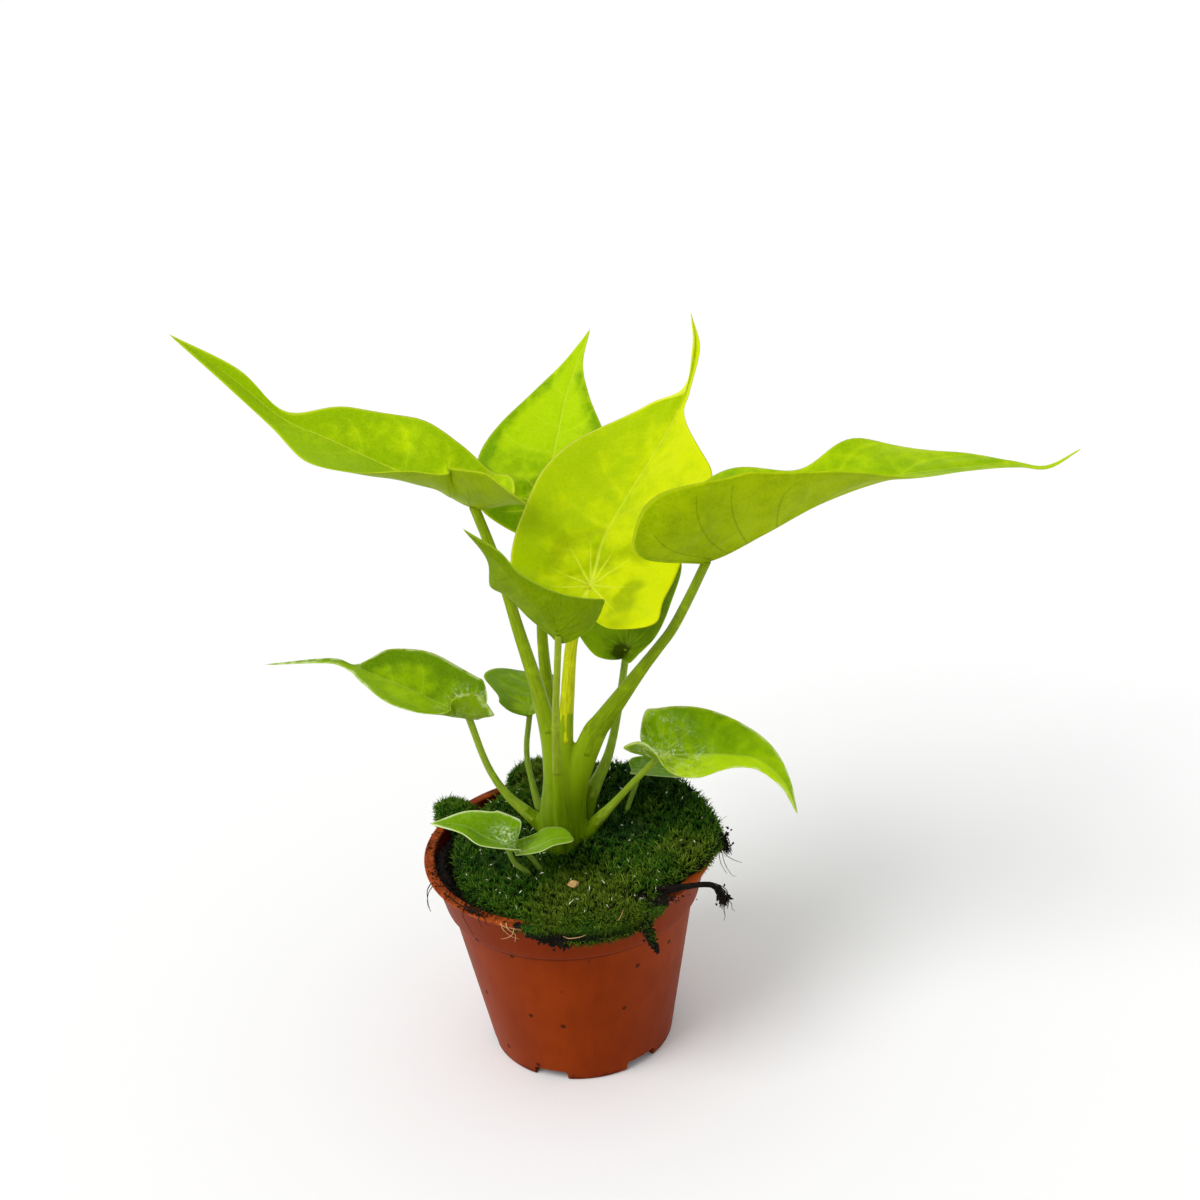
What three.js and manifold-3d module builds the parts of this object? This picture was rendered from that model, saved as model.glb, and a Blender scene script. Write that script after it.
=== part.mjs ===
// Potted golden alocasia cucullata: a small aroid in a round nursery pot, with moss over the soil.
// Millimetres, +Z up. The origin is on the pot's axis, in the plane that the pot stands on.
// The plant's front is towards -Y.
import * as THREE from 'three';
import { mergeVertices } from 'three/addons/utils/BufferGeometryUtils.js';
import Module from 'manifold-3d';

const wasm = await Module();
wasm.setup();

// Pot: a standard 9 cm round pot, 6.8 cm high
const potHeight = 67.8;
const rimRadius = 45;
const rimDepth = 1.5;
const collarTopRadius = 42.9;
const collarFootRadius = 39.6;
const collarFootHeight = 52.3;
const bodyTopRadius = 37.9;
const baseRadius = 28.8;
const wall = 1.3;
const floorHeight = 1.6;
const floorThickness = 1.4;
const footRingWidth = 3.2;
const footPadRadius = 8;
const potSides = 48;
const drainSlots = 6;
const drainSlotWidth = 11;
const drainSlotHeight = 3.4;
const drainSlotTurn = -112;

// Clearance between pieces that touch
const gap = 0.3;

// Soil: a fill whose top lies a little under the rim
const soilTop = 61;
const soilSag = 2.2;
const soilSides = 40;

// Plant
const bladeThickness = 0.7;
const stalkSides = 8;
const crownSides = 12;

// Plain helpers

function radians(degrees) {
  return degrees * Math.PI / 180;
}

// Catmull-Rom value through a list of numbers at position u, with the ends carried on straight
function through(values, u) {
  const last = values.length - 1;
  const i = Math.min(Math.max(Math.floor(u), 0), last - 1);
  const f = u - i;
  const b = values[i];
  const c = values[i + 1];
  const a = i > 0 ? values[i - 1] : 2 * b - c;
  const d = i + 2 <= last ? values[i + 2] : 2 * c - b;
  return b + 0.5 * f * (c - a + f * (2 * a - 5 * b + 4 * c - d + f * (3 * (b - c) + d - a)));
}

// Column k of a table, read at position u
function column(table, k, u) {
  return through(table.map((row) => row[k]), u);
}

// The same for a closed ring of values, with u in turns
function aroundRing(values, turns) {
  const n = values.length;
  const u = (turns - Math.floor(turns)) * n;
  const i = Math.floor(u);
  const ring = [-1, 0, 1, 2].map((step) => values[(i + step + n) % n]);
  return through(ring, 1 + u - i);
}

function geometryOf(points, triangles) {
  const geometry = new THREE.BufferGeometry();
  geometry.setAttribute('position', new THREE.Float32BufferAttribute(points.flat(), 3));
  geometry.setIndex(triangles.flat());
  return geometry;
}

function solidOf(geometry) {
  const bare = geometry.clone();
  bare.deleteAttribute('normal');
  bare.deleteAttribute('uv');
  const merged = mergeVertices(bare, 1e-4);
  return new wasm.Manifold(new wasm.Mesh({
    numProp: 3,
    vertProperties: new Float32Array(merged.attributes.position.array),
    triVerts: new Uint32Array(merged.index.array),
  }));
}

function geometryOfSolid(solid) {
  const mesh = solid.getMesh();
  const geometry = new THREE.BufferGeometry();
  geometry.setAttribute('position', new THREE.Float32BufferAttribute(mesh.vertProperties, 3));
  geometry.setIndex(new THREE.Uint32BufferAttribute(mesh.triVerts, 1));
  return geometry;
}

// A cut can leave a loose scrap: the piece is the largest body that is left
function largestBody(solid) {
  const bodies = solid.decompose();
  bodies.sort((a, b) => b.volume() - a.volume());
  return bodies[0];
}

// A revolved solid from a closed profile of [radius, height] points
function revolved(profile, sides) {
  const outline = profile.map(([r, z]) => new THREE.Vector2(r, z));
  const geometry = new THREE.LatheGeometry(outline, sides);
  geometry.rotateX(Math.PI / 2);
  return geometry;
}

// A closed tube through rows of [x, y, z, half width, half depth], its width across the path
// and level, with flat ends. Grow makes it fatter all round.
function tube(rows, steps, sides, grow = 0) {
  const points = [];
  const triangles = [];
  const last = rows.length - 1;
  const place = (u) => new THREE.Vector3(column(rows, 0, u), column(rows, 1, u), column(rows, 2, u));
  for (let i = 0; i <= steps; i += 1) {
    const u = last * i / steps;
    const centre = place(u);
    const along = place(Math.min(u + 0.05, last)).sub(place(Math.max(u - 0.05, 0))).normalize();
    const across = new THREE.Vector3(1, 0, 0).addScaledVector(along, -along.x).normalize();
    const outward = new THREE.Vector3().crossVectors(along, across);
    for (let k = 0; k < sides; k += 1) {
      const angle = 2 * Math.PI * k / sides;
      const point = centre.clone();
      point.addScaledVector(across, (column(rows, 3, u) + grow) * Math.cos(angle));
      point.addScaledVector(outward, (column(rows, 4, u) + grow) * Math.sin(angle));
      points.push(point.toArray());
    }
  }
  for (let i = 0; i < steps; i += 1) {
    for (let k = 0; k < sides; k += 1) {
      const a = i * sides + k;
      const b = i * sides + (k + 1) % sides;
      triangles.push([a, b, b + sides], [a, b + sides, a + sides]);
    }
  }
  const end = steps * sides;
  for (let k = 1; k < sides - 1; k += 1) {
    triangles.push([0, k + 1, k], [end, end + k, end + k + 1]);
  }
  return geometryOf(points, triangles);
}

// Pot: the wall, the collar's step, the rim's lip, a raised floor and slots at the foot

function potProfile() {
  const inside = wall * 1.05;
  return [
    [0, 0],
    [footPadRadius, 0],
    [footPadRadius + 1, floorHeight],
    [baseRadius - footRingWidth - 1, floorHeight],
    [baseRadius - footRingWidth, 0],
    [baseRadius - 0.9, 0],
    [baseRadius, 0.9],
    [bodyTopRadius, collarFootHeight],
    [collarFootRadius, collarFootHeight + 0.5],
    [collarTopRadius, potHeight - rimDepth],
    [rimRadius - 0.3, potHeight - rimDepth],
    [rimRadius, potHeight - rimDepth / 2],
    [rimRadius - 0.5, potHeight],
    [collarTopRadius - inside + 0.5, potHeight],
    [collarTopRadius - inside, potHeight - 0.6],
    [collarFootRadius - inside, collarFootHeight + 1.4],
    [bodyTopRadius - inside, collarFootHeight - 1.2],
    [baseRadius - inside, floorHeight + floorThickness],
    [0, floorHeight + floorThickness],
  ];
}

function drainSlot(k) {
  const reach = footRingWidth + 4;
  const box = new THREE.BoxGeometry(reach, drainSlotWidth, 2 * drainSlotHeight);
  box.translate(baseRadius + 1 - reach / 2, 0, 0);
  box.rotateZ(radians(drainSlotTurn) + 2 * Math.PI * k / drainSlots);
  return solidOf(box);
}

function makePot() {
  let pot = solidOf(revolved(potProfile(), potSides));
  for (let k = 0; k < drainSlots; k += 1) {
    pot = pot.subtract(drainSlot(k));
  }
  return pot;
}

// Room that the pot takes from the moss: everything inside its outer line, the lip included
function potRoom() {
  const outer = rimRadius + gap;
  const inner = collarTopRadius - wall * 1.05 - gap;
  return solidOf(revolved([
    [inner - 5, collarFootHeight - 8],
    [outer, collarFootHeight - 8],
    [outer, potHeight + gap],
    [inner, potHeight + gap],
    [inner - 3.2, collarFootHeight + 1.4],
    [inner - 5, collarFootHeight - 8],
  ], potSides));
}

// Soil: fills the pot's inside up to a slightly uneven top

function soilHeight(x, y) {
  return soilTop - soilSag * Math.exp(-((x + 26) ** 2 + (y + 12) ** 2) / 300)
    + 0.5 * Math.sin(x * 0.31 + 1) * Math.cos(y * 0.27);
}

function insideRadius(z) {
  const inside = wall * 1.05 + gap;
  const points = [
    [floorHeight + floorThickness, baseRadius - inside],
    [collarFootHeight - 1.2, bodyTopRadius - inside],
    [collarFootHeight + 1.4, collarFootRadius - inside],
    [potHeight, collarTopRadius - inside],
  ];
  for (let i = 1; i < points.length; i += 1) {
    if (z <= points[i][0]) {
      const f = (z - points[i - 1][0]) / (points[i][0] - points[i - 1][0]);
      return points[i - 1][1] + f * (points[i][1] - points[i - 1][1]);
    }
  }
  return points[points.length - 1][1];
}

// Rings from the floor's centre out, up the wall, and back in over the top
function soilSolid(grow = 0) {
  const rings = [];
  const low = floorHeight + floorThickness + gap;
  const wallHeights = [low, collarFootHeight - 1.2, collarFootHeight + 1.4];
  const topRings = 5;
  wallHeights.forEach((z) => rings.push((angle) => {
    const r = insideRadius(z) + grow;
    return [r * Math.cos(angle), r * Math.sin(angle), z];
  }));
  for (let i = 0; i < topRings; i += 1) {
    rings.push((angle) => {
      const r = insideRadius(soilTop - 2) * (1 - i / topRings) + grow;
      const x = r * Math.cos(angle);
      const y = r * Math.sin(angle);
      return [x, y, soilHeight(x, y) + grow];
    });
  }
  const points = [[0, 0, low]];
  const triangles = [];
  rings.forEach((ring) => {
    for (let k = 0; k < soilSides; k += 1) {
      points.push(ring(2 * Math.PI * k / soilSides));
    }
  });
  const top = points.length;
  points.push([0, 0, soilHeight(0, 0) + grow]);
  const lastRing = 1 + (rings.length - 1) * soilSides;
  for (let k = 0; k < soilSides; k += 1) {
    const next = (k + 1) % soilSides;
    triangles.push([0, 1 + next, 1 + k], [top, lastRing + k, lastRing + next]);
    for (let i = 0; i < rings.length - 1; i += 1) {
      const a = 1 + i * soilSides + k;
      const b = 1 + i * soilSides + next;
      triangles.push([a, b, b + soilSides], [a, b + soilSides, a + soilSides]);
    }
  }
  return solidOf(geometryOf(points, triangles));
}

// Moss: a cushion as a dome over a ring of [radius, edge height], with shoots as a small relief

function tuftRelief(x, y) {
  return 0.55 * Math.sin(1.15 * x + 0.4 * y) * Math.sin(1.05 * y - 0.3 * x + 1)
    + 0.35 * Math.sin(2.1 * x + 1.3) * Math.sin(1.9 * y + 0.5);
}

// Centre, crest height over the plan, the edge's radii and heights by turns from +X, and the depth
// of the cushion. The relief fades at the edge.
function cushion({ centre, crest, radii, edges, floor, rings, sides, relief, roundness }) {
  const points = [];
  const triangles = [];
  const [cx, cy] = centre;
  const ringAt = (share, top) => {
    for (let k = 0; k < sides; k += 1) {
      const turns = k / sides;
      const angle = 2 * Math.PI * turns;
      const r = aroundRing(radii, turns) * share;
      const x = cx + r * Math.cos(angle);
      const y = cy + r * Math.sin(angle);
      const edge = aroundRing(edges, turns);
      const dome = Math.sqrt(Math.max(0, 1 - share ** roundness));
      const z = top
        ? edge + (crest(x, y) - edge) * dome + relief * dome * tuftRelief(x, y)
        : Math.min(edge, floor + (edge - floor) * share ** 8) - 0.8;
      points.push([x, y, z]);
    }
  };
  points.push([cx, cy, floor - 0.8]);
  const shareOf = (i) => Math.sin(Math.PI / 2 * i / rings);
  for (let i = 1; i <= rings; i += 1) {
    ringAt(shareOf(i), false);
  }
  for (let i = rings; i >= 1; i -= 1) {
    ringAt(shareOf(i) * 0.996, true);
  }
  const top = points.length;
  points.push([cx, cy, crest(cx, cy)]);
  const ringCount = 2 * rings;
  for (let k = 0; k < sides; k += 1) {
    const next = (k + 1) % sides;
    const last = 1 + (ringCount - 1) * sides;
    triangles.push([0, 1 + next, 1 + k], [top, last + k, last + next]);
    for (let i = 0; i < ringCount - 1; i += 1) {
      const a = 1 + i * sides + k;
      const b = 1 + i * sides + next;
      triangles.push([a, b, b + sides], [a, b + sides, a + sides]);
    }
  }
  return solidOf(geometryOf(points, triangles));
}

// Room that one cushion takes from another
function cushionRoom(moss) {
  return cushion({
    ...moss,
    crest: (x, y) => moss.crest(x, y) + gap,
    radii: moss.radii.map((r) => r + gap),
    edges: moss.edges.map((z) => z + gap),
  });
}

const mossMain = {
  centre: [3, -2],
  crest: (x, y) => 71 + 0.05 * x + 0.08 * y + 0.002 * y ** 2 + 1.1 * Math.sin(0.13 * x + 0.5) * Math.cos(0.15 * y)
    - 3 * Math.exp(-((x - 2) ** 2 + (y + 12) ** 2) / 90),
  //     right           back             left             front
  radii: [44.5, 44, 43, 42, 40, 38, 39, 41, 40, 39.5, 40.5, 43, 45.5, 45.5, 38.5, 41.5],
  edges: [69, 70, 71, 71, 69, 66, 61, 60, 60, 60, 61, 66, 64.5, 66.5, 66, 69],
  floor: 59,
  rings: 8,
  sides: 46,
  relief: 1,
  roundness: 24,
};

const mossLeft = {
  centre: [-36, 22],
  crest: () => 72.5,
  radii: [7, 6, 6.5, 7.5, 6.5, 6, 7, 7],
  edges: [66, 67, 68, 69, 69, 69, 67, 66],
  floor: 64,
  rings: 4,
  sides: 18,
  relief: 0.6,
  roundness: 5,
};

const mossBack = {
  centre: [-11, 38],
  crest: (x) => 76 + 0.12 * x,
  radii: [8, 8.5, 7.5, 7.5, 8.5, 9, 7, 7],
  edges: [69, 70, 70, 69, 68, 66, 64, 66],
  floor: 62,
  rings: 4,
  sides: 20,
  relief: 0.7,
  roundness: 5,
};

// Leaves: each has a stalk path from the crown and a blade on stations along its midrib.
// Stalk rows: x, y, z, half width, half depth. Station rows: x, y, z of the midrib, width of the
// left and of the right half, roll of the face about the midrib, then the fold at the midrib and the
// further curl out to the margin, left and then right, in degrees. Left and right are as seen from
// above, looking towards the tip.
// The first station is where the base lobes end and the second is where the stalk joins. Lobes
// holds how far the left and the right lobe end from the first station, in stations, and how full
// each is, as a share of its width at the stalk.

const leaves = {
  left_high: {
    colour: '#9cc41c', wave: 0.8,
    stalk: [[-2.5, 2, 66, 4, 4.2], [-2.6, 0, 88, 3.6, 4], [-3, 0, 105, 2.9, 3], [-5.5, 1, 122, 2.3, 2.4],
      [-9.3, 2, 140, 1.9, 1.9], [-13.4, 3, 160, 1.6, 1.6], [-19.2, 4, 181, 1.5, 1.5]],
    lobes: [-0.4, 0.3, 0.9, 0.9],
    blade: [
      [-5.5, -5, 184, 9, 6, -20, 40, 30, -10, 20],
      [-19.2, 4, 181, 21, 13, -20, 50, 45, 0, 25],
      [-31, 10, 186, 21, 16, -20, 35, 45, 3, 20],
      [-45, 16, 191, 19, 18, -20, 15, 40, 5, 15],
      [-60, 21, 198, 15, 13.3, -20, 5, 20, 10, 10],
      [-74, 26, 204, 5.8, 2.6, -25, 10, 10, 15, 5],
      [-88, 31, 216, 4, 3.4, -30, 15, 10, 15, 10],
      [-105, 36, 229, 0, 0, -30, 10, 10, 10, 10],
    ],
  },
  back: {
    colour: '#8fc01e', wave: 0.6,
    stalk: [[0, 4, 64, 3.6, 3.6], [-1, 8, 85, 3, 3], [-2, 10, 102, 2.4, 2.4], [-3, 12, 120, 1.9, 1.9],
      [-3, 17, 137, 1.6, 1.6], [-0.5, 28, 151, 1.5, 1.5], [1, 36, 166.5, 1.4, 1.4]],
    lobes: [0.2, 0, 0.9, 0.9],
    blade: [
      [-4, 29, 156, 8, 11, 0, 10, 20, 15, 25],
      [1, 36, 166.5, 21.5, 22, 0, 10, 20, 10, 20],
      [3, 46, 175, 23, 22, 0, 8, 15, 8, 15],
      [6, 56, 183, 18.5, 15, 0, 5, 10, 5, 10],
      [9, 65, 191, 11, 8, 0, 5, 5, 5, 5],
      [13, 75, 198, 4.5, 2.3, 0, 5, 5, 5, 5],
      [18, 85, 206, 0, 0, 0, 5, 5, 5, 5],
    ],
  },
  centre: {
    colour: '#c4dc1a', wave: 0.8,
    stalk: [[0, 0, 66, 4, 4], [1, 0, 87, 3.2, 3.2], [1.6, -1, 105, 2.4, 2.4], [3.5, -1, 122, 2.1, 2.1],
      [6, -2, 139, 1.8, 1.8], [10, -4, 150, 1.6, 1.6], [12.5, -6, 158, 1.5, 1.5]],
    lobes: [0, 0.08, 0.9, 1.05],
    blade: [
      [6, -16, 151.5, 12, 14.5, 0, 10, 30, -5, 5],
      [12.5, -6, 158, 24.5, 25, 0, 8, 25, 0, 10],
      [17.5, 4, 168, 26.2, 28, 0, 6, 25, 3, 10],
      [24.5, 14, 175.5, 27.3, 33, 0, 6, 20, 5, 10],
      [33.5, 24, 184.5, 23, 24, 0, 6, 15, 5, 8],
      [41.5, 32, 194, 11, 4, 0, 6, 10, 10, 10],
      [45.5, 37, 200, 1.6, 1.4, 0, 20, 10, 20, 10],
      [48.8, 41, 210.5, 1.3, 1.5, 0, 20, 10, 20, 10],
      [48, 44, 222, 0, 0, 0, 10, 10, 10, 10],
    ],
  },
  right_high: {
    colour: '#9cc41c', wave: 0.9,
    stalk: [[1.5, 1, 66, 4, 4], [3, 0, 87, 4, 3.6], [9.5, -2.5, 106, 3.8, 2.6], [15, -4.5, 115, 3.2, 2.1],
      [27, -9.5, 133.5, 1.8, 1.7], [35.8, -13.5, 147, 1.5, 1.5], [45.3, -22, 170.2, 1.3, 1.3]],
    lobes: [0.5, -0.12, 0.8, 0.88],
    blade: [
      [25, -27.8, 171.6, 2.5, 15.5, 0, 20, 40, 30, 62],
      [45.5, -22, 170.5, 10, 30.5, 0, 45, 20, 56, 30],
      [61.5, -16, 174.5, 28, 26, 0, 42, 10, 57, 25],
      [79.5, -10, 180.5, 14, 17.5, 0, 12, 10, 42, 20],
      [100.5, -2, 183, 18.5, 14, 0, 15, 15, 15, 10],
      [121, 5, 181.5, 10, 7, 0, 10, 10, 12, 5],
      [138, 10, 179, 3, 3, 0, 10, 5, 15, 0],
      [148, 12, 177, 1.2, 1.2, 0, 10, 5, 15, 0],
      [158.5, 15, 181, 0, 0, 0, 5, 5, 5, 5],
    ],
  },
  front: {
    colour: '#8aac22', wave: 0.3,
    stalk: [[-1, -3, 68, 2.2, 2.2], [-1.5, -9, 90, 1.6, 1.6], [-1, -17, 109, 1.3, 1.3], [0, -25.5, 127, 1.1, 1.1],
      [1.5, -32, 143, 1, 1], [2.8, -32.8, 155.6, 1, 1]],
    lobes: [0.25, 0.6, 0.9, 0.9],
    blade: [
      [6, -32, 150.5, 9.5, 1.5, 60, 30, 40, 10, 20],
      [2.8, -32, 156, 16, 4, 60, 30, 50, 0, 20],
      [-2, -31, 164, 7, 7.5, 60, 30, 40, -15, 20],
      [-8, -29, 172, 2.5, 14, 60, 30, 30, -20, 30],
      [-13.5, -27, 178.5, 2.5, 4, 60, 30, 20, -10, 30],
      [-21, -25, 186.5, 0, 0, 60, 20, 20, 10, 10],
    ],
  },
  behind: {
    colour: '#5f9c18', wave: 0.5,
    stalk: [[3, 5, 66, 2.6, 2.6], [8, 9, 80, 2.3, 2.1], [14, 11, 92, 1.5, 1.5], [18, 13, 106, 1.2, 1.2],
      [22, 16, 126, 1.1, 1.1]],
    lobes: [0, 0, 0.9, 0.9],
    blade: [
      [19, 10, 123, 9, 7, 0, 20, 30, 20, 30],
      [22, 16, 126, 17, 13, 0, 20, 30, 20, 30],
      [26, 27, 132, 18, 13.5, 0, 15, 25, 15, 25],
      [30, 38, 140, 14, 13, 0, 10, 20, 10, 20],
      [33, 48, 147, 7, 7, 0, 10, 10, 10, 10],
      [36, 58, 155, 0, 0, 0, 5, 5, 5, 5],
    ],
  },
  left_low: {
    colour: '#84b41c', wave: 0.5,
    stalk: [[-3, 2, 66, 2.6, 2.6], [-9, 3, 75, 2.3, 2.1], [-17.5, 4, 84.5, 1.4, 1.3], [-23, 4, 96, 1.1, 1.1],
      [-27, 3, 113.5, 1.1, 1.1]],
    lobes: [-0.4, 0.3, 0.9, 0.9],
    blade: [
      [-20.5, -2, 115.5, 5.5, 6.5, -10, 25, 60, 25, 35],
      [-27, 3, 113.5, 12.5, 12.5, -10, 22, 55, 25, 30],
      [-36, 7, 116.5, 12.5, 13.2, -10, 12, 30, 20, 20],
      [-46.5, 11, 121, 11, 13.5, -10, 5, 10, 15, 15],
      [-56, 15, 124, 6, 9.8, -15, 10, 10, 10, 10],
      [-61, 17.5, 125.5, 3, 1.2, -15, 10, 10, 10, 10],
      [-69, 21, 126.6, 1.6, 1, -20, 15, 10, 15, 10],
      [-90, 26, 124.5, 0, 0, -20, 10, 10, 10, 10],
    ],
  },
  back_low: {
    colour: '#6c9c1c', wave: 0.4,
    stalk: [[-4, 5, 66, 2, 2], [-8, 7, 76, 1.5, 1.5], [-10, 10, 85, 1, 1], [-11, 13, 95, 0.9, 0.9],
      [-9, 17.5, 106.3, 0.9, 0.9]],
    lobes: [0, 0.4, 0.9, 0.9],
    blade: [
      [-9.5, 12.5, 106.5, 7, 3, 0, 15, 20, 15, 20],
      [-9, 17.5, 106.3, 11, 6, 0, 20, 15, 15, 20],
      [-7.5, 28, 105.5, 18, 8, 0, 20, 15, 12, 15],
      [-5.5, 40, 104, 13, 6, 0, 15, 10, 10, 10],
      [-3, 52, 101.5, 0, 0, 0, 5, 5, 5, 5],
    ],
  },
  right_low: {
    colour: '#84b820', wave: 0.6,
    stalk: [[1, 0, 66, 2.4, 2.2], [8, -1, 75, 2.1, 1.9], [15, -2, 83, 1.2, 1.2], [22, -3, 91, 1, 1],
      [30, -3, 99, 1, 1]],
    lobes: [0.35, -0.4, 0.9, 0.9],
    blade: [
      [21.5, -5, 101.5, 6.5, 6, 10, 20, 20, 30, 30],
      [30, -3, 99, 15, 11, 10, 20, 20, 8, 10],
      [41, -2, 97.5, 17.5, 11.5, 10, 15, 15, 0, 5],
      [52, -3, 97, 12, 6.5, 10, 15, 10, 0, 5],
      [60, -5, 95.5, 7, 5, 5, 15, 10, 0, 5],
      [66.5, -8, 89, 3, 3, 0, 10, 10, 0, 5],
      [70, -10, 79, 0, 0, 0, 5, 5, 5, 5],
    ],
  },
  moss_tip: {
    colour: '#8cbc34', wave: 0.2,
    stalk: [[-12, -16, 67, 1, 1], [-13, -19, 71.5, 0.9, 0.9], [-16, -21, 76, 0.8, 0.8], [-18, -22, 83, 0.8, 0.8]],
    lobes: [0, 0.3, 0.9, 0.9],
    blade: [
      [-14.5, -22, 81.2, 5, 5, -15, 20, 40, 20, 40],
      [-18, -22, 83, 9, 9, -15, 20, 40, 20, 40],
      [-24, -22, 86, 9, 9, -15, 15, 35, 15, 35],
      [-30, -21, 90, 5, 5, -15, 10, 20, 10, 20],
      [-40, -20, 91, 0, 0, -15, 5, 5, 5, 5],
    ],
  },
  moss_round: {
    colour: '#8cbc34', wave: 0.1,
    stalk: [[-8, -14, 66, 0.9, 0.9], [-10, -17, 73, 0.8, 0.8], [-12.5, -20, 79, 0.8, 0.8]],
    lobes: [0.2, 0.2, 0.9, 0.9],
    blade: [
      [-17, -21, 79, 4.5, 4.5, -10, 10, 10, 10, 10],
      [-12.5, -20, 79, 6.5, 6.5, -10, 10, 10, 10, 10],
      [-8, -19, 80, 7.5, 7.5, -10, 5, 10, 5, 10],
      [-4.5, -18.2, 81, 7.7, 7.4, -10, 5, 10, 5, 10],
      [0.2, -17.3, 80.9, 6, 5.8, -10, 5, 10, 5, 10],
      [2, -17, 80.5, 0, 0, -10, 5, 5, 5, 5],
    ],
  },
  moss_hidden: {
    colour: '#7cac2c', wave: 0.1,
    stalk: [[17, 9, 69, 0.9, 0.9], [20, 12, 75, 0.8, 0.8], [24, 15, 84, 0.8, 0.8]],
    lobes: [0, 0, 0.9, 0.9],
    blade: [
      [20.5, 15, 84, 4, 4, 0, 10, 10, 10, 10],
      [24, 15, 84, 6, 6, 0, 10, 10, 10, 10],
      [29, 15, 84, 7, 7, 0, 5, 10, 5, 10],
      [34, 14, 83, 5, 5, 0, 5, 10, 5, 10],
      [40, 13, 81, 0, 0, 0, 5, 5, 5, 5],
    ],
  },
};

// The notch between the base lobes ends a little behind the stalk, as a position in stations
function notchAt({ stalk, blade }) {
  const [lobeEnd, joint] = blade;
  const length = Math.hypot(lobeEnd[0] - joint[0], lobeEnd[1] - joint[1], lobeEnd[2] - joint[2]);
  return Math.max(1 - (2 * stalk[stalk.length - 1][3] + 1.2) / length, 0.25);
}

// Outline of one half as [position in stations, half width], from the notch back round the lobe and
// on to the tip
function leafOutline(stations, width, notch, lobeEnd, fullness) {
  const lobe = stations[1][width];
  const endWidth = stations[0][width];
  const outline = [
    [notch, 0],
    [0.5 * (notch + lobeEnd), 0.12 * lobe],
    [lobeEnd + 0.12 * (notch - lobeEnd), 0.55 * endWidth],
    [lobeEnd, endWidth],
    [0.3 + 0.7 * lobeEnd, fullness * lobe],
  ];
  for (let i = 1; i < stations.length; i += 1) {
    outline.push([i, stations[i][width]]);
  }
  return outline;
}

// A point of the blade at station u, q out from the midrib (left is negative) of a half width w
function bladePoint(stations, u, q, w, wave) {
  const last = stations.length - 1;
  const rib = (v) => new THREE.Vector3(
    column(stations, 0, v), column(stations, 1, v), column(stations, 2, v));
  const step = 0.05;
  const along = rib(Math.min(u + step, last)).sub(rib(u - step)).normalize();
  const level = new THREE.Vector3(0, 0, 1).addScaledVector(along, -along.z).normalize();
  const side = new THREE.Vector3().crossVectors(along, level);
  const roll = radians(column(stations, 5, u));
  const up = level.clone().multiplyScalar(Math.cos(roll)).addScaledVector(side, Math.sin(roll));
  const right = new THREE.Vector3().crossVectors(along, up);
  const half = q < 0 ? 0 : 1;
  const fold = radians(column(stations, 6 + 2 * half, u));
  const curl = radians(column(stations, 7 + 2 * half, u)) / Math.max(w, 0.01);
  const reach = Math.abs(q);
  const bend = Math.abs(curl) < 1e-5 ? 1e-5 : curl;
  const out = (Math.sin(fold + bend * reach) - Math.sin(fold)) / bend;
  const rise = (Math.cos(fold) - Math.cos(fold + bend * reach)) / bend;
  const ripple = wave * (reach / stations[1][3 + half]) ** 2 * Math.sin(2.4 * u + 1.7 * half);
  return rib(u).addScaledVector(right, Math.sign(q) * out).addScaledVector(up, rise + ripple);
}

// The blade's middle surface: rows run from the midrib out to the margin, as the main veins do.
// NotchShare moves the notch's end away from the stalk where it is under 1.
function bladeSurface(leaf, rows, cells, notchShare) {
  const { blade, wave, lobes } = leaf;
  const notch = notchAt(leaf) * notchShare;
  const outlines = [0, 1].map((half) => leafOutline(blade, 3 + half, notch, lobes[half], lobes[2 + half]));
  const tip = blade.length - 1;
  const points = [];
  const triangles = [];
  for (let i = 0; i <= rows; i += 1) {
    const t = i / rows;
    const j = t * (outlines[0].length - 1);
    const ribAt = notch + (tip - notch) * (0.08 * t + 0.92 * t ** 2.8);
    const pole = i === 0 || i === rows;
    for (let k = pole ? 0 : -cells; k <= (pole ? 0 : cells); k += 1) {
      const s = k / cells;
      const half = s < 0 ? 0 : 1;
      const edgeAt = column(outlines[half], 0, j);
      const edgeWidth = Math.max(column(outlines[half], 1, j), 0);
      const u = Math.min(ribAt + Math.abs(s) * (edgeAt - ribAt), tip);
      const fullWidth = Math.max(column(blade, 3 + half, Math.max(u, 0)), 0.5);
      points.push(bladePoint(blade, u, s * edgeWidth, fullWidth, wave).toArray());
    }
  }
  const across = 2 * cells + 1;
  const at = (i, k) => 1 + (i - 1) * across + k;
  const end = points.length - 1;
  for (let k = 0; k < across - 1; k += 1) {
    triangles.push([0, at(1, k + 1), at(1, k)]);
    for (let i = 1; i < rows - 1; i += 1) {
      triangles.push([at(i, k), at(i, k + 1), at(i + 1, k + 1)], [at(i, k), at(i + 1, k + 1), at(i + 1, k)]);
    }
    triangles.push([end, at(rows - 1, k), at(rows - 1, k + 1)]);
  }
  return { points, triangles };
}

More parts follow.
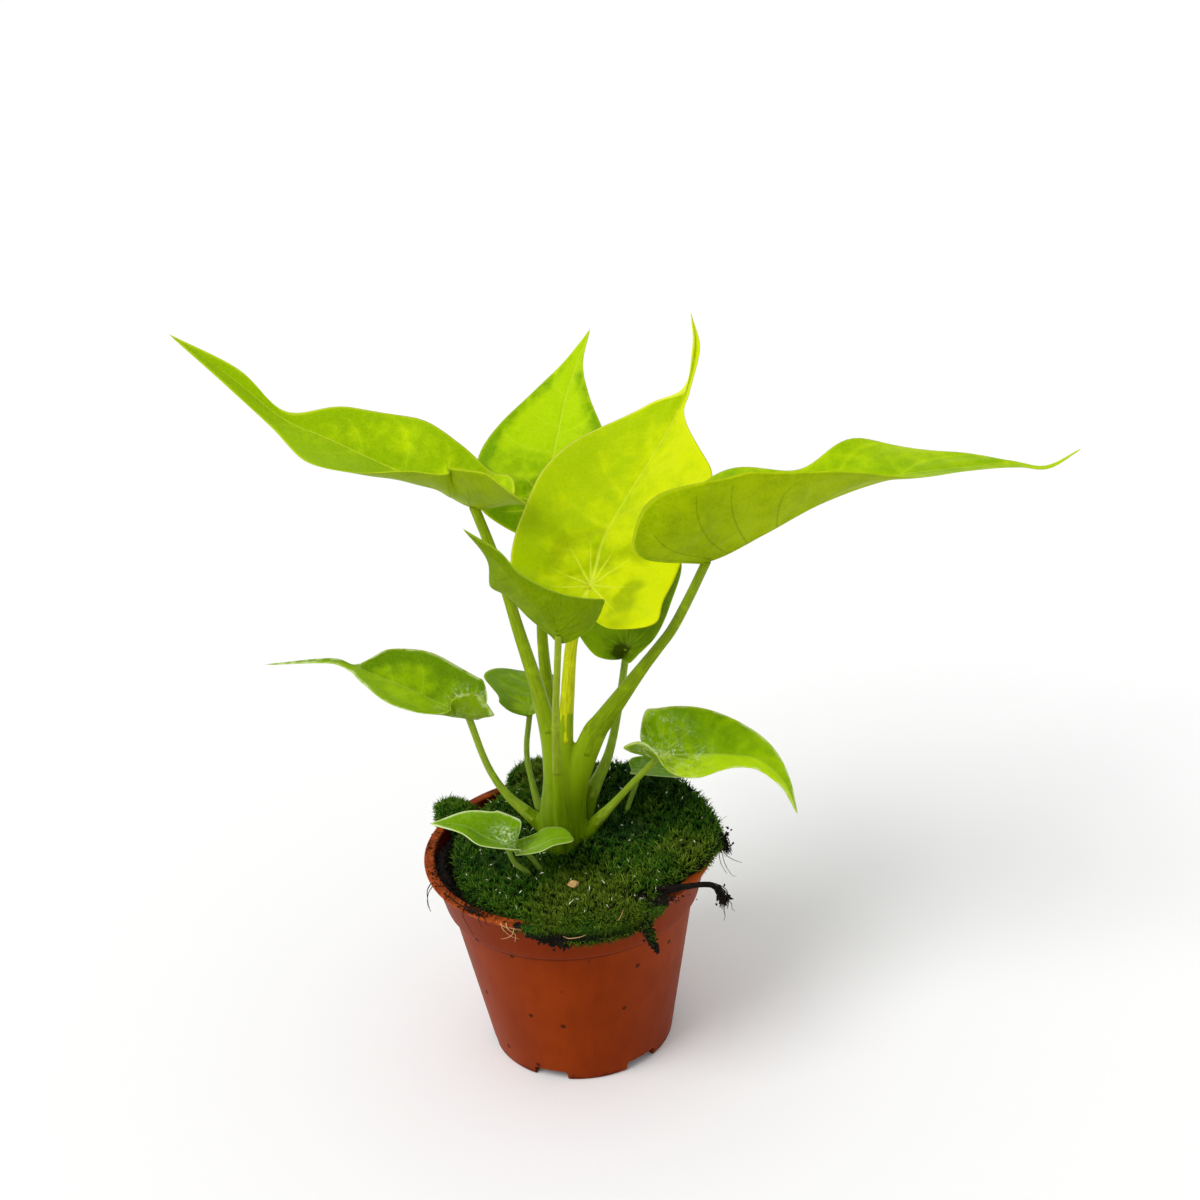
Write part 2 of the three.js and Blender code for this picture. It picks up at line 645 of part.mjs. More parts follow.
// Both faces are the middle surface moved half the thickness out along its normals
function thickened({ points, triangles }, thickness) {
  const middle = geometryOf(points, triangles);
  middle.computeVertexNormals();
  const normals = middle.attributes.normal;
  const count = points.length;
  const face = (sign) => points.map((p, i) => [
    p[0] + sign * normals.getX(i) * thickness / 2,
    p[1] + sign * normals.getY(i) * thickness / 2,
    p[2] + sign * normals.getZ(i) * thickness / 2,
  ]);
  const shell = triangles.concat(triangles.map(([a, b, c]) => [a + count, c + count, b + count]));
  const open = new Map();
  triangles.forEach((corners) => corners.forEach((a, n) => {
    const b = corners[(n + 1) % 3];
    if (!open.delete(`${b},${a}`)) {
      open.set(`${a},${b}`, [a, b]);
    }
  }));
  open.forEach(([a, b]) => shell.push([b, a, a + count], [b, a + count, b + count]));
  return solidOf(geometryOf(face(1).concat(face(-1)), shell));
}

const fineBlades = { left_high: [24, 4], back: [20, 4], centre: [24, 4], right_high: [24, 4] };
const smallBlades = { moss_tip: [12, 3], moss_round: [12, 3], moss_hidden: [12, 3] };

function makeBlade(name, thickness, notchShare = 1) {
  const [rows, cells] = fineBlades[name] || smallBlades[name] || [17, 3];
  return thickened(bladeSurface(leaves[name], rows, cells, notchShare), thickness);
}

// Crown: the sheaths of the nine leaves that rise from it, fused up to where each comes free

const crownCore = [[-2, 1, 53, 5, 5], [-2.5, 1, 62, 6.2, 6.4], [-2.6, 1, 74, 6.4, 6.6],
  [-1.2, 1, 88, 5.4, 5.6], [-1, 1, 102, 4, 4.4], [-1, 1, 112, 2.2, 3]];

// Share of each stalk's path that belongs to the crown
const sheathShare = {
  left_high: 0.46, back: 0.4, centre: 0.42, right_high: 0.36, front: 0.4,
  behind: 0.3, left_low: 0.36, back_low: 0.3, right_low: 0.34,
};

function partOfPath(rows, from, to) {
  const last = rows.length - 1;
  const pieces = 6;
  const part = [];
  for (let i = 0; i <= pieces; i += 1) {
    const u = last * (from + (to - from) * i / pieces);
    part.push([0, 1, 2, 3, 4].map((k) => column(rows, k, u)));
  }
  return part;
}

function makeCrown(grow) {
  let crown = solidOf(tube(crownCore, 9, crownSides, grow));
  Object.entries(sheathShare).forEach(([name, share]) => {
    const steps = 5;
    crown = crown.add(solidOf(tube(partOfPath(leaves[name].stalk, 0, share), steps, stalkSides, grow)));
  });
  return crown;
}

// A stalk starts where the crown ends, and ends under its blade
function stalkTube(name, grow) {
  const start = name in sheathShare ? sheathShare[name] * 0.8 : 0;
  const steps = name in sheathShare ? 9 : 5;
  return solidOf(tube(partOfPath(leaves[name].stalk, start, 1), steps, stalkSides, grow));
}

// Share of the notch left open in the thicker blade that the stalk is cut clear of
const notchLeft = 0.8;

function makeStalk(name, crownRoom) {
  const bladeRoom = makeBlade(name, bladeThickness + 2 * gap, notchLeft);
  return largestBody(stalkTube(name, 0).subtract(crownRoom).subtract(bladeRoom));
}

// Small things on the moss

function makeStone() {
  const stone = new THREE.IcosahedronGeometry(1.9, 1);
  stone.scale(1, 0.8, 0.75);
  stone.rotateZ(0.4);
  stone.translate(1, -29.5, 72.4);
  return solidOf(stone);
}

const rootUpper = [[39, 2, 69, 0.9, 0.9], [45, 0, 70, 1.2, 1.1], [49, -1.5, 66, 1.1, 1], [51.5, -2, 60.5, 0.5, 0.5]];
const rootLower = [[28, -27, 70, 1.5, 1.3], [34, -31, 72.5, 1.4, 1.2], [39, -36, 73, 1.3, 1.1],
  [42.5, -39, 72, 1.5, 1.2], [45, -41, 67.5, 1, 0.9]];

// Scene graph

const group = new THREE.Group();

function addPiece(name, solid, colour, roughness) {
  const material = new THREE.MeshStandardMaterial({ color: colour, roughness, metalness: 0 });
  const mesh = new THREE.Mesh(geometryOfSolid(solid), material);
  mesh.name = name;
  group.add(mesh);
}

const crownRoom = makeCrown(gap);
const stalks = {};
Object.keys(leaves).forEach((name) => {
  stalks[name] = makeStalk(name, crownRoom);
});

addPiece('pot', makePot(), '#a8521e', 0.45);
addPiece('soil', soilSolid().subtract(crownRoom), '#1c1410', 0.95);
addPiece('crown', makeCrown(0), '#7cab22', 0.5);

// Plants that stand in the moss leave their own holes in it
let mossCutter = crownRoom.add(potRoom()).add(soilSolid(gap));
Object.keys(leaves).forEach((name) => {
  mossCutter = mossCutter.add(stalkTube(name, gap));
});
[rootUpper, rootLower].forEach((rows) => {
  mossCutter = mossCutter.add(solidOf(tube(rows, 8, stalkSides, gap)));
});
addPiece('moss_main', largestBody(cushion(mossMain).subtract(mossCutter)), '#33501c', 0.95);
mossCutter = mossCutter.add(cushionRoom(mossMain));
addPiece('moss_left', largestBody(cushion(mossLeft).subtract(mossCutter)), '#3c5a20', 0.95);
addPiece('moss_back', largestBody(cushion(mossBack).subtract(mossCutter)), '#3c5a20', 0.95);

Object.entries(leaves).forEach(([name, leaf]) => {
  addPiece(`leaf_${name}_stalk`, stalks[name], '#93b83a', 0.5);
  addPiece(`leaf_${name}_blade`, makeBlade(name, bladeThickness), leaf.colour, 0.42);
});

addPiece('stone', makeStone(), '#c9a873', 0.8);
addPiece('root_upper', solidOf(tube(rootUpper, 8, stalkSides)), '#14100c', 0.9);
addPiece('root_lower', solidOf(tube(rootLower, 8, stalkSides)), '#14100c', 0.9);

export default group;
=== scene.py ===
import bpy
import numpy as np
from mathutils import Matrix, Vector


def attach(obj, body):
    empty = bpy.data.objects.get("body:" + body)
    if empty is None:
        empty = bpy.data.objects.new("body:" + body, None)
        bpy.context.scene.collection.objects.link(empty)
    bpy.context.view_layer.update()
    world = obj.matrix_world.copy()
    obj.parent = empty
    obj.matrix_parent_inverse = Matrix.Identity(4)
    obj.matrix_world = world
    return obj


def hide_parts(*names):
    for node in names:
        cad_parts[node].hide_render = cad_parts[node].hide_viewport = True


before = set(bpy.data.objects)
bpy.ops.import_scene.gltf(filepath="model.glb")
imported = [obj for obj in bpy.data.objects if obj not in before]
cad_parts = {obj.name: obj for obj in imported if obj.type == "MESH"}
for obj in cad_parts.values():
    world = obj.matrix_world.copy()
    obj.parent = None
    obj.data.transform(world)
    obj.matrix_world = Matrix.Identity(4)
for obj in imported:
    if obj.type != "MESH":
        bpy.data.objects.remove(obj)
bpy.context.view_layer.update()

# Shapes are worked out in millimetres, in the frame's axes, and become metres in addMesh
metre = 0.001
print("frame loaded")

# Camera, floor and light: lengths in millimetres, angles in degrees

view = {"target": (15, 0, 150.4), "distance": 584, "elevation": 25, "roll": -4.1, "lens": 60,
        "sensor": 36}

studio = {
    "skyStrength": 0.7,
    "keyStrength": 1.55,
    "keyFrom": (-560, -420, 800),
    "keySpread": 34,
    "floorColour": (0.96, 0.96, 0.96, 1),
    "floorHalf": 9000,
}


def addObject(name, data):
    made = bpy.data.objects.new(name, data)
    bpy.context.scene.collection.objects.link(made)
    return made


def addCamera():
    # Level and upright are the picture's axes before the roll turns them
    elevation, roll = np.radians([view["elevation"], view["roll"]])
    back = np.array([0, -np.cos(elevation), np.sin(elevation)])
    level = np.array([1.0, 0, 0])
    upright = np.cross(back, level)
    right = np.cos(roll) * level + np.sin(roll) * upright
    up = np.cos(roll) * upright - np.sin(roll) * level
    place = (np.array(view["target"]) + view["distance"] * back) * metre
    data = bpy.data.cameras.new("camera")
    data.lens, data.sensor_width = view["lens"], view["sensor"]
    camera = addObject("camera", data)
    camera.matrix_world = Matrix([*np.stack([right, up, back, place], 1).tolist(), [0, 0, 0, 1]])
    bpy.context.scene.camera = camera


def addKeyLight():
    data = bpy.data.lights.new("key", "SUN")
    data.energy = studio["keyStrength"]
    data.angle = np.radians(studio["keySpread"])
    light = addObject("key", data)
    light.location = Vector(studio["keyFrom"]) * metre
    light.rotation_euler = (-light.location).to_track_quat("-Z", "Y").to_euler()


# Shader maths: a node's output that can be used in sums. Other nodes come from node().

class Wire:
    def __init__(self, tree, socket=None):
        self.tree, self.socket = tree, socket

    def node(self, kind, settings=None, values=None, output=0):
        made = self.tree.nodes.new("ShaderNode" + kind)
        for name, value in (settings or {}).items():
            setattr(made, name, value)
        for name, value in (values or {}).items():
            if isinstance(value, Wire):
                self.tree.links.new(value.socket, made.inputs[name])
            else:
                made.inputs[name].default_value = value
        return Wire(self.tree, made.outputs[output])

    def maths(self, operation, first, second=0.0):
        return self.node("Math", {"operation": operation}, {0: first, 1: second})

    def size(self):          # distance from zero
        return self.maths("ABSOLUTE", self)

    def part(self):          # what is left past the whole number
        return self.maths("FRACT", self)

    def most(self, other):
        return self.maths("MAXIMUM", self, other)

    def rise(self, low, high):          # 0 below low, 1 above high, smooth between
        values = {"Value": self, "From Min": low, "From Max": high}
        return self.node("MapRange", {"interpolation_type": "SMOOTHSTEP"}, values)

    def noise(self, place, scale, detail=3, rough=0.55):
        values = {"Vector": place, "Scale": scale, "Detail": detail, "Roughness": rough}
        return self.node("TexNoise", None, values)

    def mix(self, share, first, second):
        # First where share is 0, second where it is 1. Three numbers are a screen colour.
        ends = [tone(k) if isinstance(k, tuple) and len(k) == 3 else k for k in (first, second)]
        return self.node("Mix", {"data_type": "RGBA"}, {0: share, 6: ends[0], 7: ends[1]}, 2)

    def paint(self, colour, *layers):          # each layer is (share, colour), over the last
        for share, over in layers:
            colour = self.mix(share, colour, over)
        return colour

    def axes(self, vector):
        outputs = self.node("SeparateXYZ", None, {"Vector": vector}).socket.node.outputs
        return [Wire(self.tree, outputs[k]) for k in range(3)]

    def attribute(self, label):          # the three parts of one of a mesh's maps
        return self.axes(self.node("Attribute", {"attribute_name": label}, None, 1))

    def length(self, vector):
        return self.node("VectorMath", {"operation": "LENGTH"}, {0: vector}, 1)

    def gap(self, place, spot):          # how far it is from a spot given in millimetres
        ends = {0: place, 1: [value * metre for value in spot]}
        return self.length(self.node("VectorMath", {"operation": "SUBTRACT"}, ends))


# Signs between wires and numbers, with either of them first
for sign, operation in {"add": "ADD", "sub": "SUBTRACT", "mul": "MULTIPLY", "truediv": "DIVIDE",
                        "pow": "POWER"}.items():
    setattr(Wire, f"__{sign}__", lambda self, other, kind=operation: self.maths(kind, self, other))
    setattr(Wire, f"__r{sign}__", lambda self, other, kind=operation: self.maths(kind, other, self))


def tone(colour, share=1.0):
    # A screen colour of 0 to 255, made lighter or darker by a share, as the light it stands for:
    # ((c + 0.055) / 1.055) ** 2.4, and c / 12.92 for the darkest
    c = np.minimum(np.array(colour) * share, 255) / 255
    linear = np.where(c > 0.04045, ((c + 0.055) / 1.055) ** 2.4, c / 12.92)
    return (*linear.tolist(), 1)


def newMaterial(name):
    material = bpy.data.materials.new(name)
    material.use_nodes = True
    material.node_tree.nodes.clear()
    ink = Wire(material.node_tree)
    return material, ink, ink.node("TexCoord", None, None, 3)


def surface(ink, colour, rough, specular, tint=(1, 1, 1), soft=None, relief=None, depth=0.3,
            selfGlow=0):
    # Soft is the share of light that passes under the surface, its red, green and blue and its
    # reach. Reach and depth of the relief are in millimetres.
    values = {"Base Color": colour, "Roughness": rough, "Specular IOR Level": specular,
              "Specular Tint": (*tint, 1)}
    if soft:
        share, radius, reach = soft
        values |= {"Subsurface Weight": share, "Subsurface Radius": radius,
                   "Subsurface Scale": reach * metre}
    if relief is not None:
        height = {"Height": relief, "Distance": depth * metre, "Strength": 1.0}
        values["Normal"] = ink.node("Bump", None, height)
    # A glow in the surface's own colour, though it is no lamp: painted light
    if selfGlow:
        values |= {"Emission Color": colour, "Emission Strength": selfGlow}
    out = ink.tree.nodes.new("ShaderNodeOutputMaterial")
    ink.tree.links.new(ink.node("BsdfPrincipled", None, values).socket, out.inputs["Surface"])


# Meshes from grids of points

def addMesh(name, points, triangles, material, maps=None, smooth=True):
    # Points in millimetres, triangles of their numbers. Corners that nothing uses are dropped, and
    # so are triangles that have shrunk to a line. Maps are vectors for each point.
    triangles = np.asarray(triangles)
    a, b, c = triangles.T
    triangles = triangles[(a != b) & (b != c) & (c != a)]
    used, renumbered = np.unique(triangles, return_inverse=True)
    renumbered = renumbered.ravel().astype(np.int32)
    mesh = bpy.data.meshes.new(name)
    mesh.vertices.add(len(used))
    corners = (np.asarray(points)[used] * metre).astype(np.float32)
    mesh.vertices.foreach_set("co", corners.ravel())
    mesh.loops.add(len(renumbered))
    mesh.loops.foreach_set("vertex_index", renumbered)
    mesh.polygons.add(len(triangles))
    mesh.polygons.foreach_set("loop_start", np.arange(0, len(renumbered), 3, dtype=np.int32))
    mesh.polygons.foreach_set("use_smooth", np.full(len(triangles), smooth))
    mesh.update(calc_edges=True)
    mesh.validate()
    for label, values in (maps or {}).items():
        layer = mesh.attributes.new(label, "FLOAT_VECTOR", "POINT")
        layer.data.foreach_set("vector", np.asarray(values)[used].astype(np.float32).ravel())
    mesh.materials.append(material)
    return addObject(name, mesh)


def placePiece(piece, slot, *nodes):
    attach(piece, "root")
    if nodes:
        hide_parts(*nodes)


def addPiece(name, slot, nodes, mesh, material, maps=None, smooth=True):
    placePiece(addMesh(name, *mesh, material, maps, smooth), slot, *nodes)


def shaped(rough, name):
    # The object with its modifiers carried out, in its place
    graph = bpy.context.evaluated_depsgraph_get()
    mesh = bpy.data.meshes.new_from_object(rough.evaluated_get(graph))
    bpy.data.objects.remove(rough)
    mesh.name = name
    return addObject(name, mesh)


def vectors(*parts):
    return np.stack(np.broadcast_arrays(*parts), -1)


def around(sides):          # angles of a ring's points
    return np.linspace(0, 2 * np.pi, sides, endpoint=False)


def polar(r, angle):
    return r * np.cos(angle), r * np.sin(angle)


def ringNumbers(rows, sides):          # numbers of a grid's points, with each row joined up
    at = np.arange(rows * sides).reshape(rows, sides)
    return np.concatenate([at, at[:, :1]], 1)


def gridTriangles(at):
    # Two triangles for each cell of a grid of point numbers, facing the side that rows x columns
    # turn to
    a, b, c, d = at[:-1, :-1], at[:-1, 1:], at[1:, 1:], at[1:, :-1]
    return np.concatenate([vectors(a, b, c).reshape(-1, 3), vectors(a, c, d).reshape(-1, 3)])


def ringMesh(points):
    # Rings of points joined row by row, with the first and the last drawn together to a point
    at = ringNumbers(*points.shape[:2])
    at[0], at[-1] = at[0, 0], at[-1, 0]
    return points.reshape(-1, 3), gridTriangles(at)


def joined(parts):
    # Several (points, triangles) as one
    points, triangles, count = [], [], 0
    for corners, faces in parts:
        points.append(corners)
        triangles.append(np.asarray(faces) + count)
        count += len(corners)
    return np.concatenate(points), np.concatenate(triangles)


def unit(values):
    return values / np.maximum(np.linalg.norm(values, axis=-1, keepdims=True), 1e-9)


def between(a, b, c, d, f):
    # Catmull-Rom: from b to c at f, with the slopes that a and d give
    return b + 0.5 * f * (c - a + f * (2 * a - 5 * b + 4 * c - d + f * (3 * (b - c) + d - a)))


def through(values, u):
    # Smooth value through a list of numbers or rows at position u, its ends carried on straight
    values = np.asarray(values, float)
    padded = np.concatenate([[2 * values[0] - values[1]], values, [2 * values[-1] - values[-2]]])
    i = np.clip(np.floor(u).astype(int), 0, len(values) - 2)
    f = (u - i)[..., None] if values.ndim > 1 else u - i
    return between(padded[i], padded[i + 1], padded[i + 2], padded[i + 3], f)


def aroundRing(values, turns):
    # The same round a closed ring, by turns
    values = np.asarray(values, float)
    u = (turns % 1) * len(values)
    i = np.floor(u).astype(int)
    a, b, c, d = [values[(i + step) % len(values)] for step in (-1, 0, 1, 2)]
    return between(a, b, c, d, u - i)


def tube(rows, steps, sides, wobble=None):
    # A closed tube through rows of [x, y, z, half width, half depth]: an ellipse carried along the
    # path, its width across the path and level, with flat ends. Wobble scales the size at each
    # share of the path and angle. Also gives each point's (share of path, cos, sin).
    rows = np.asarray(rows, float)
    last = len(rows) - 1
    share = np.linspace(0, 1, steps + 1)
    u = last * share
    path, ahead, behind = [through(rows[:, :3], position) for position in
                           (u, np.minimum(u + 0.05, last), np.maximum(u - 0.05, 0))]
    along = unit(ahead - behind)
    across = unit(np.array([1.0, 0, 0]) - along * along[:, :1])
    angle = around(sides)
    size = 1.0 if wobble is None else wobble(share[:, None], angle)
    x, y = polar(size, angle)
    wide = (through(rows[:, 3], u)[:, None] * x)[..., None] * across[:, None]
    deep = (through(rows[:, 4], u)[:, None] * y)[..., None] * np.cross(along, across)[:, None]
    ring = path[:, None] + wide + deep
    points = np.concatenate([ring.reshape(-1, 3), path[:1], path[-1:]])
    at, start = ringNumbers(steps + 1, sides), ring.size // 3
    first = vectors(start, at[0, 1:], at[0, :-1])
    final = vectors(start + 1, at[-1, :-1], at[-1, 1:])
    place = vectors(share[:, None], *polar(1, angle)).reshape(-1, 3)
    place = np.concatenate([place, [[0, 0, 0], [1, 0, 0]]])
    return points, np.concatenate([gridTriangles(at), first, final]), place


def partOfPath(rows, start, end, pieces=9):
    return through(rows, (len(rows) - 1) * np.linspace(start, end, pieces))


# Leaves. Each has a stalk path of [x, y, z, half width, half depth] and a blade on stations along
# its midrib: x, y, z, width of the left and of the right half, roll, then the fold at the midrib
# and the further curl out to the margin, left and then right, in degrees. Tones are screen
# colours. Lobes are how far back each lobe reaches, in stations, and how full it is. Fine is the
# number of rows and of cells across each half. Where a leaf gives no value of its own, leafBasis
# has it.

goldTones = {
    "top": (190, 212, 2), "topShade": (148, 178, 0), "under": (138, 160, 0),
    "underShade": (110, 134, 0), "vein": (224, 234, 70), "slot": "leaf_gold",
}
greenTones = {
    "top": (146, 178, 4), "topShade": (92, 128, 4), "under": (122, 150, 6),
    "underShade": (92, 122, 4), "vein": (176, 200, 70), "slot": "leaf_green",
}
deepTones = {
    "top": (126, 156, 6), "topShade": (80, 112, 4), "under": (118, 144, 6),
    "underShade": (84, 112, 4), "vein": (156, 184, 50), "slot": "leaf_deep",
}
youngTones = {
    "top": (112, 156, 12), "topShade": (86, 130, 10), "under": (112, 148, 24),
    "underShade": (86, 124, 16), "vein": (190, 212, 140), "slot": "leaf_young",
}

leafBasis = {
    "veins": 0.6,            # strength of the veins
    "wave": 0.5,             # height of the margin's ripple
    "lean": (0, 0),          # how the shade changes along and across
    "rim": (0.1, 0.1),       # paleness of the left and the right margin
    "edgeShade": 0,          # shade near the margin, above
    "underLean": 0,          # shade towards the base, below
    "gloss": 0.12,
    "dentShading": (0.3, 8),     # strength of the painted shade in the dents round the stalk's top, and their reach
    "lit": (0, 0),           # light that shines through the left and the right half
    "bloom": 0,              # strength of the pale marks, which reach out to bloomReach
}

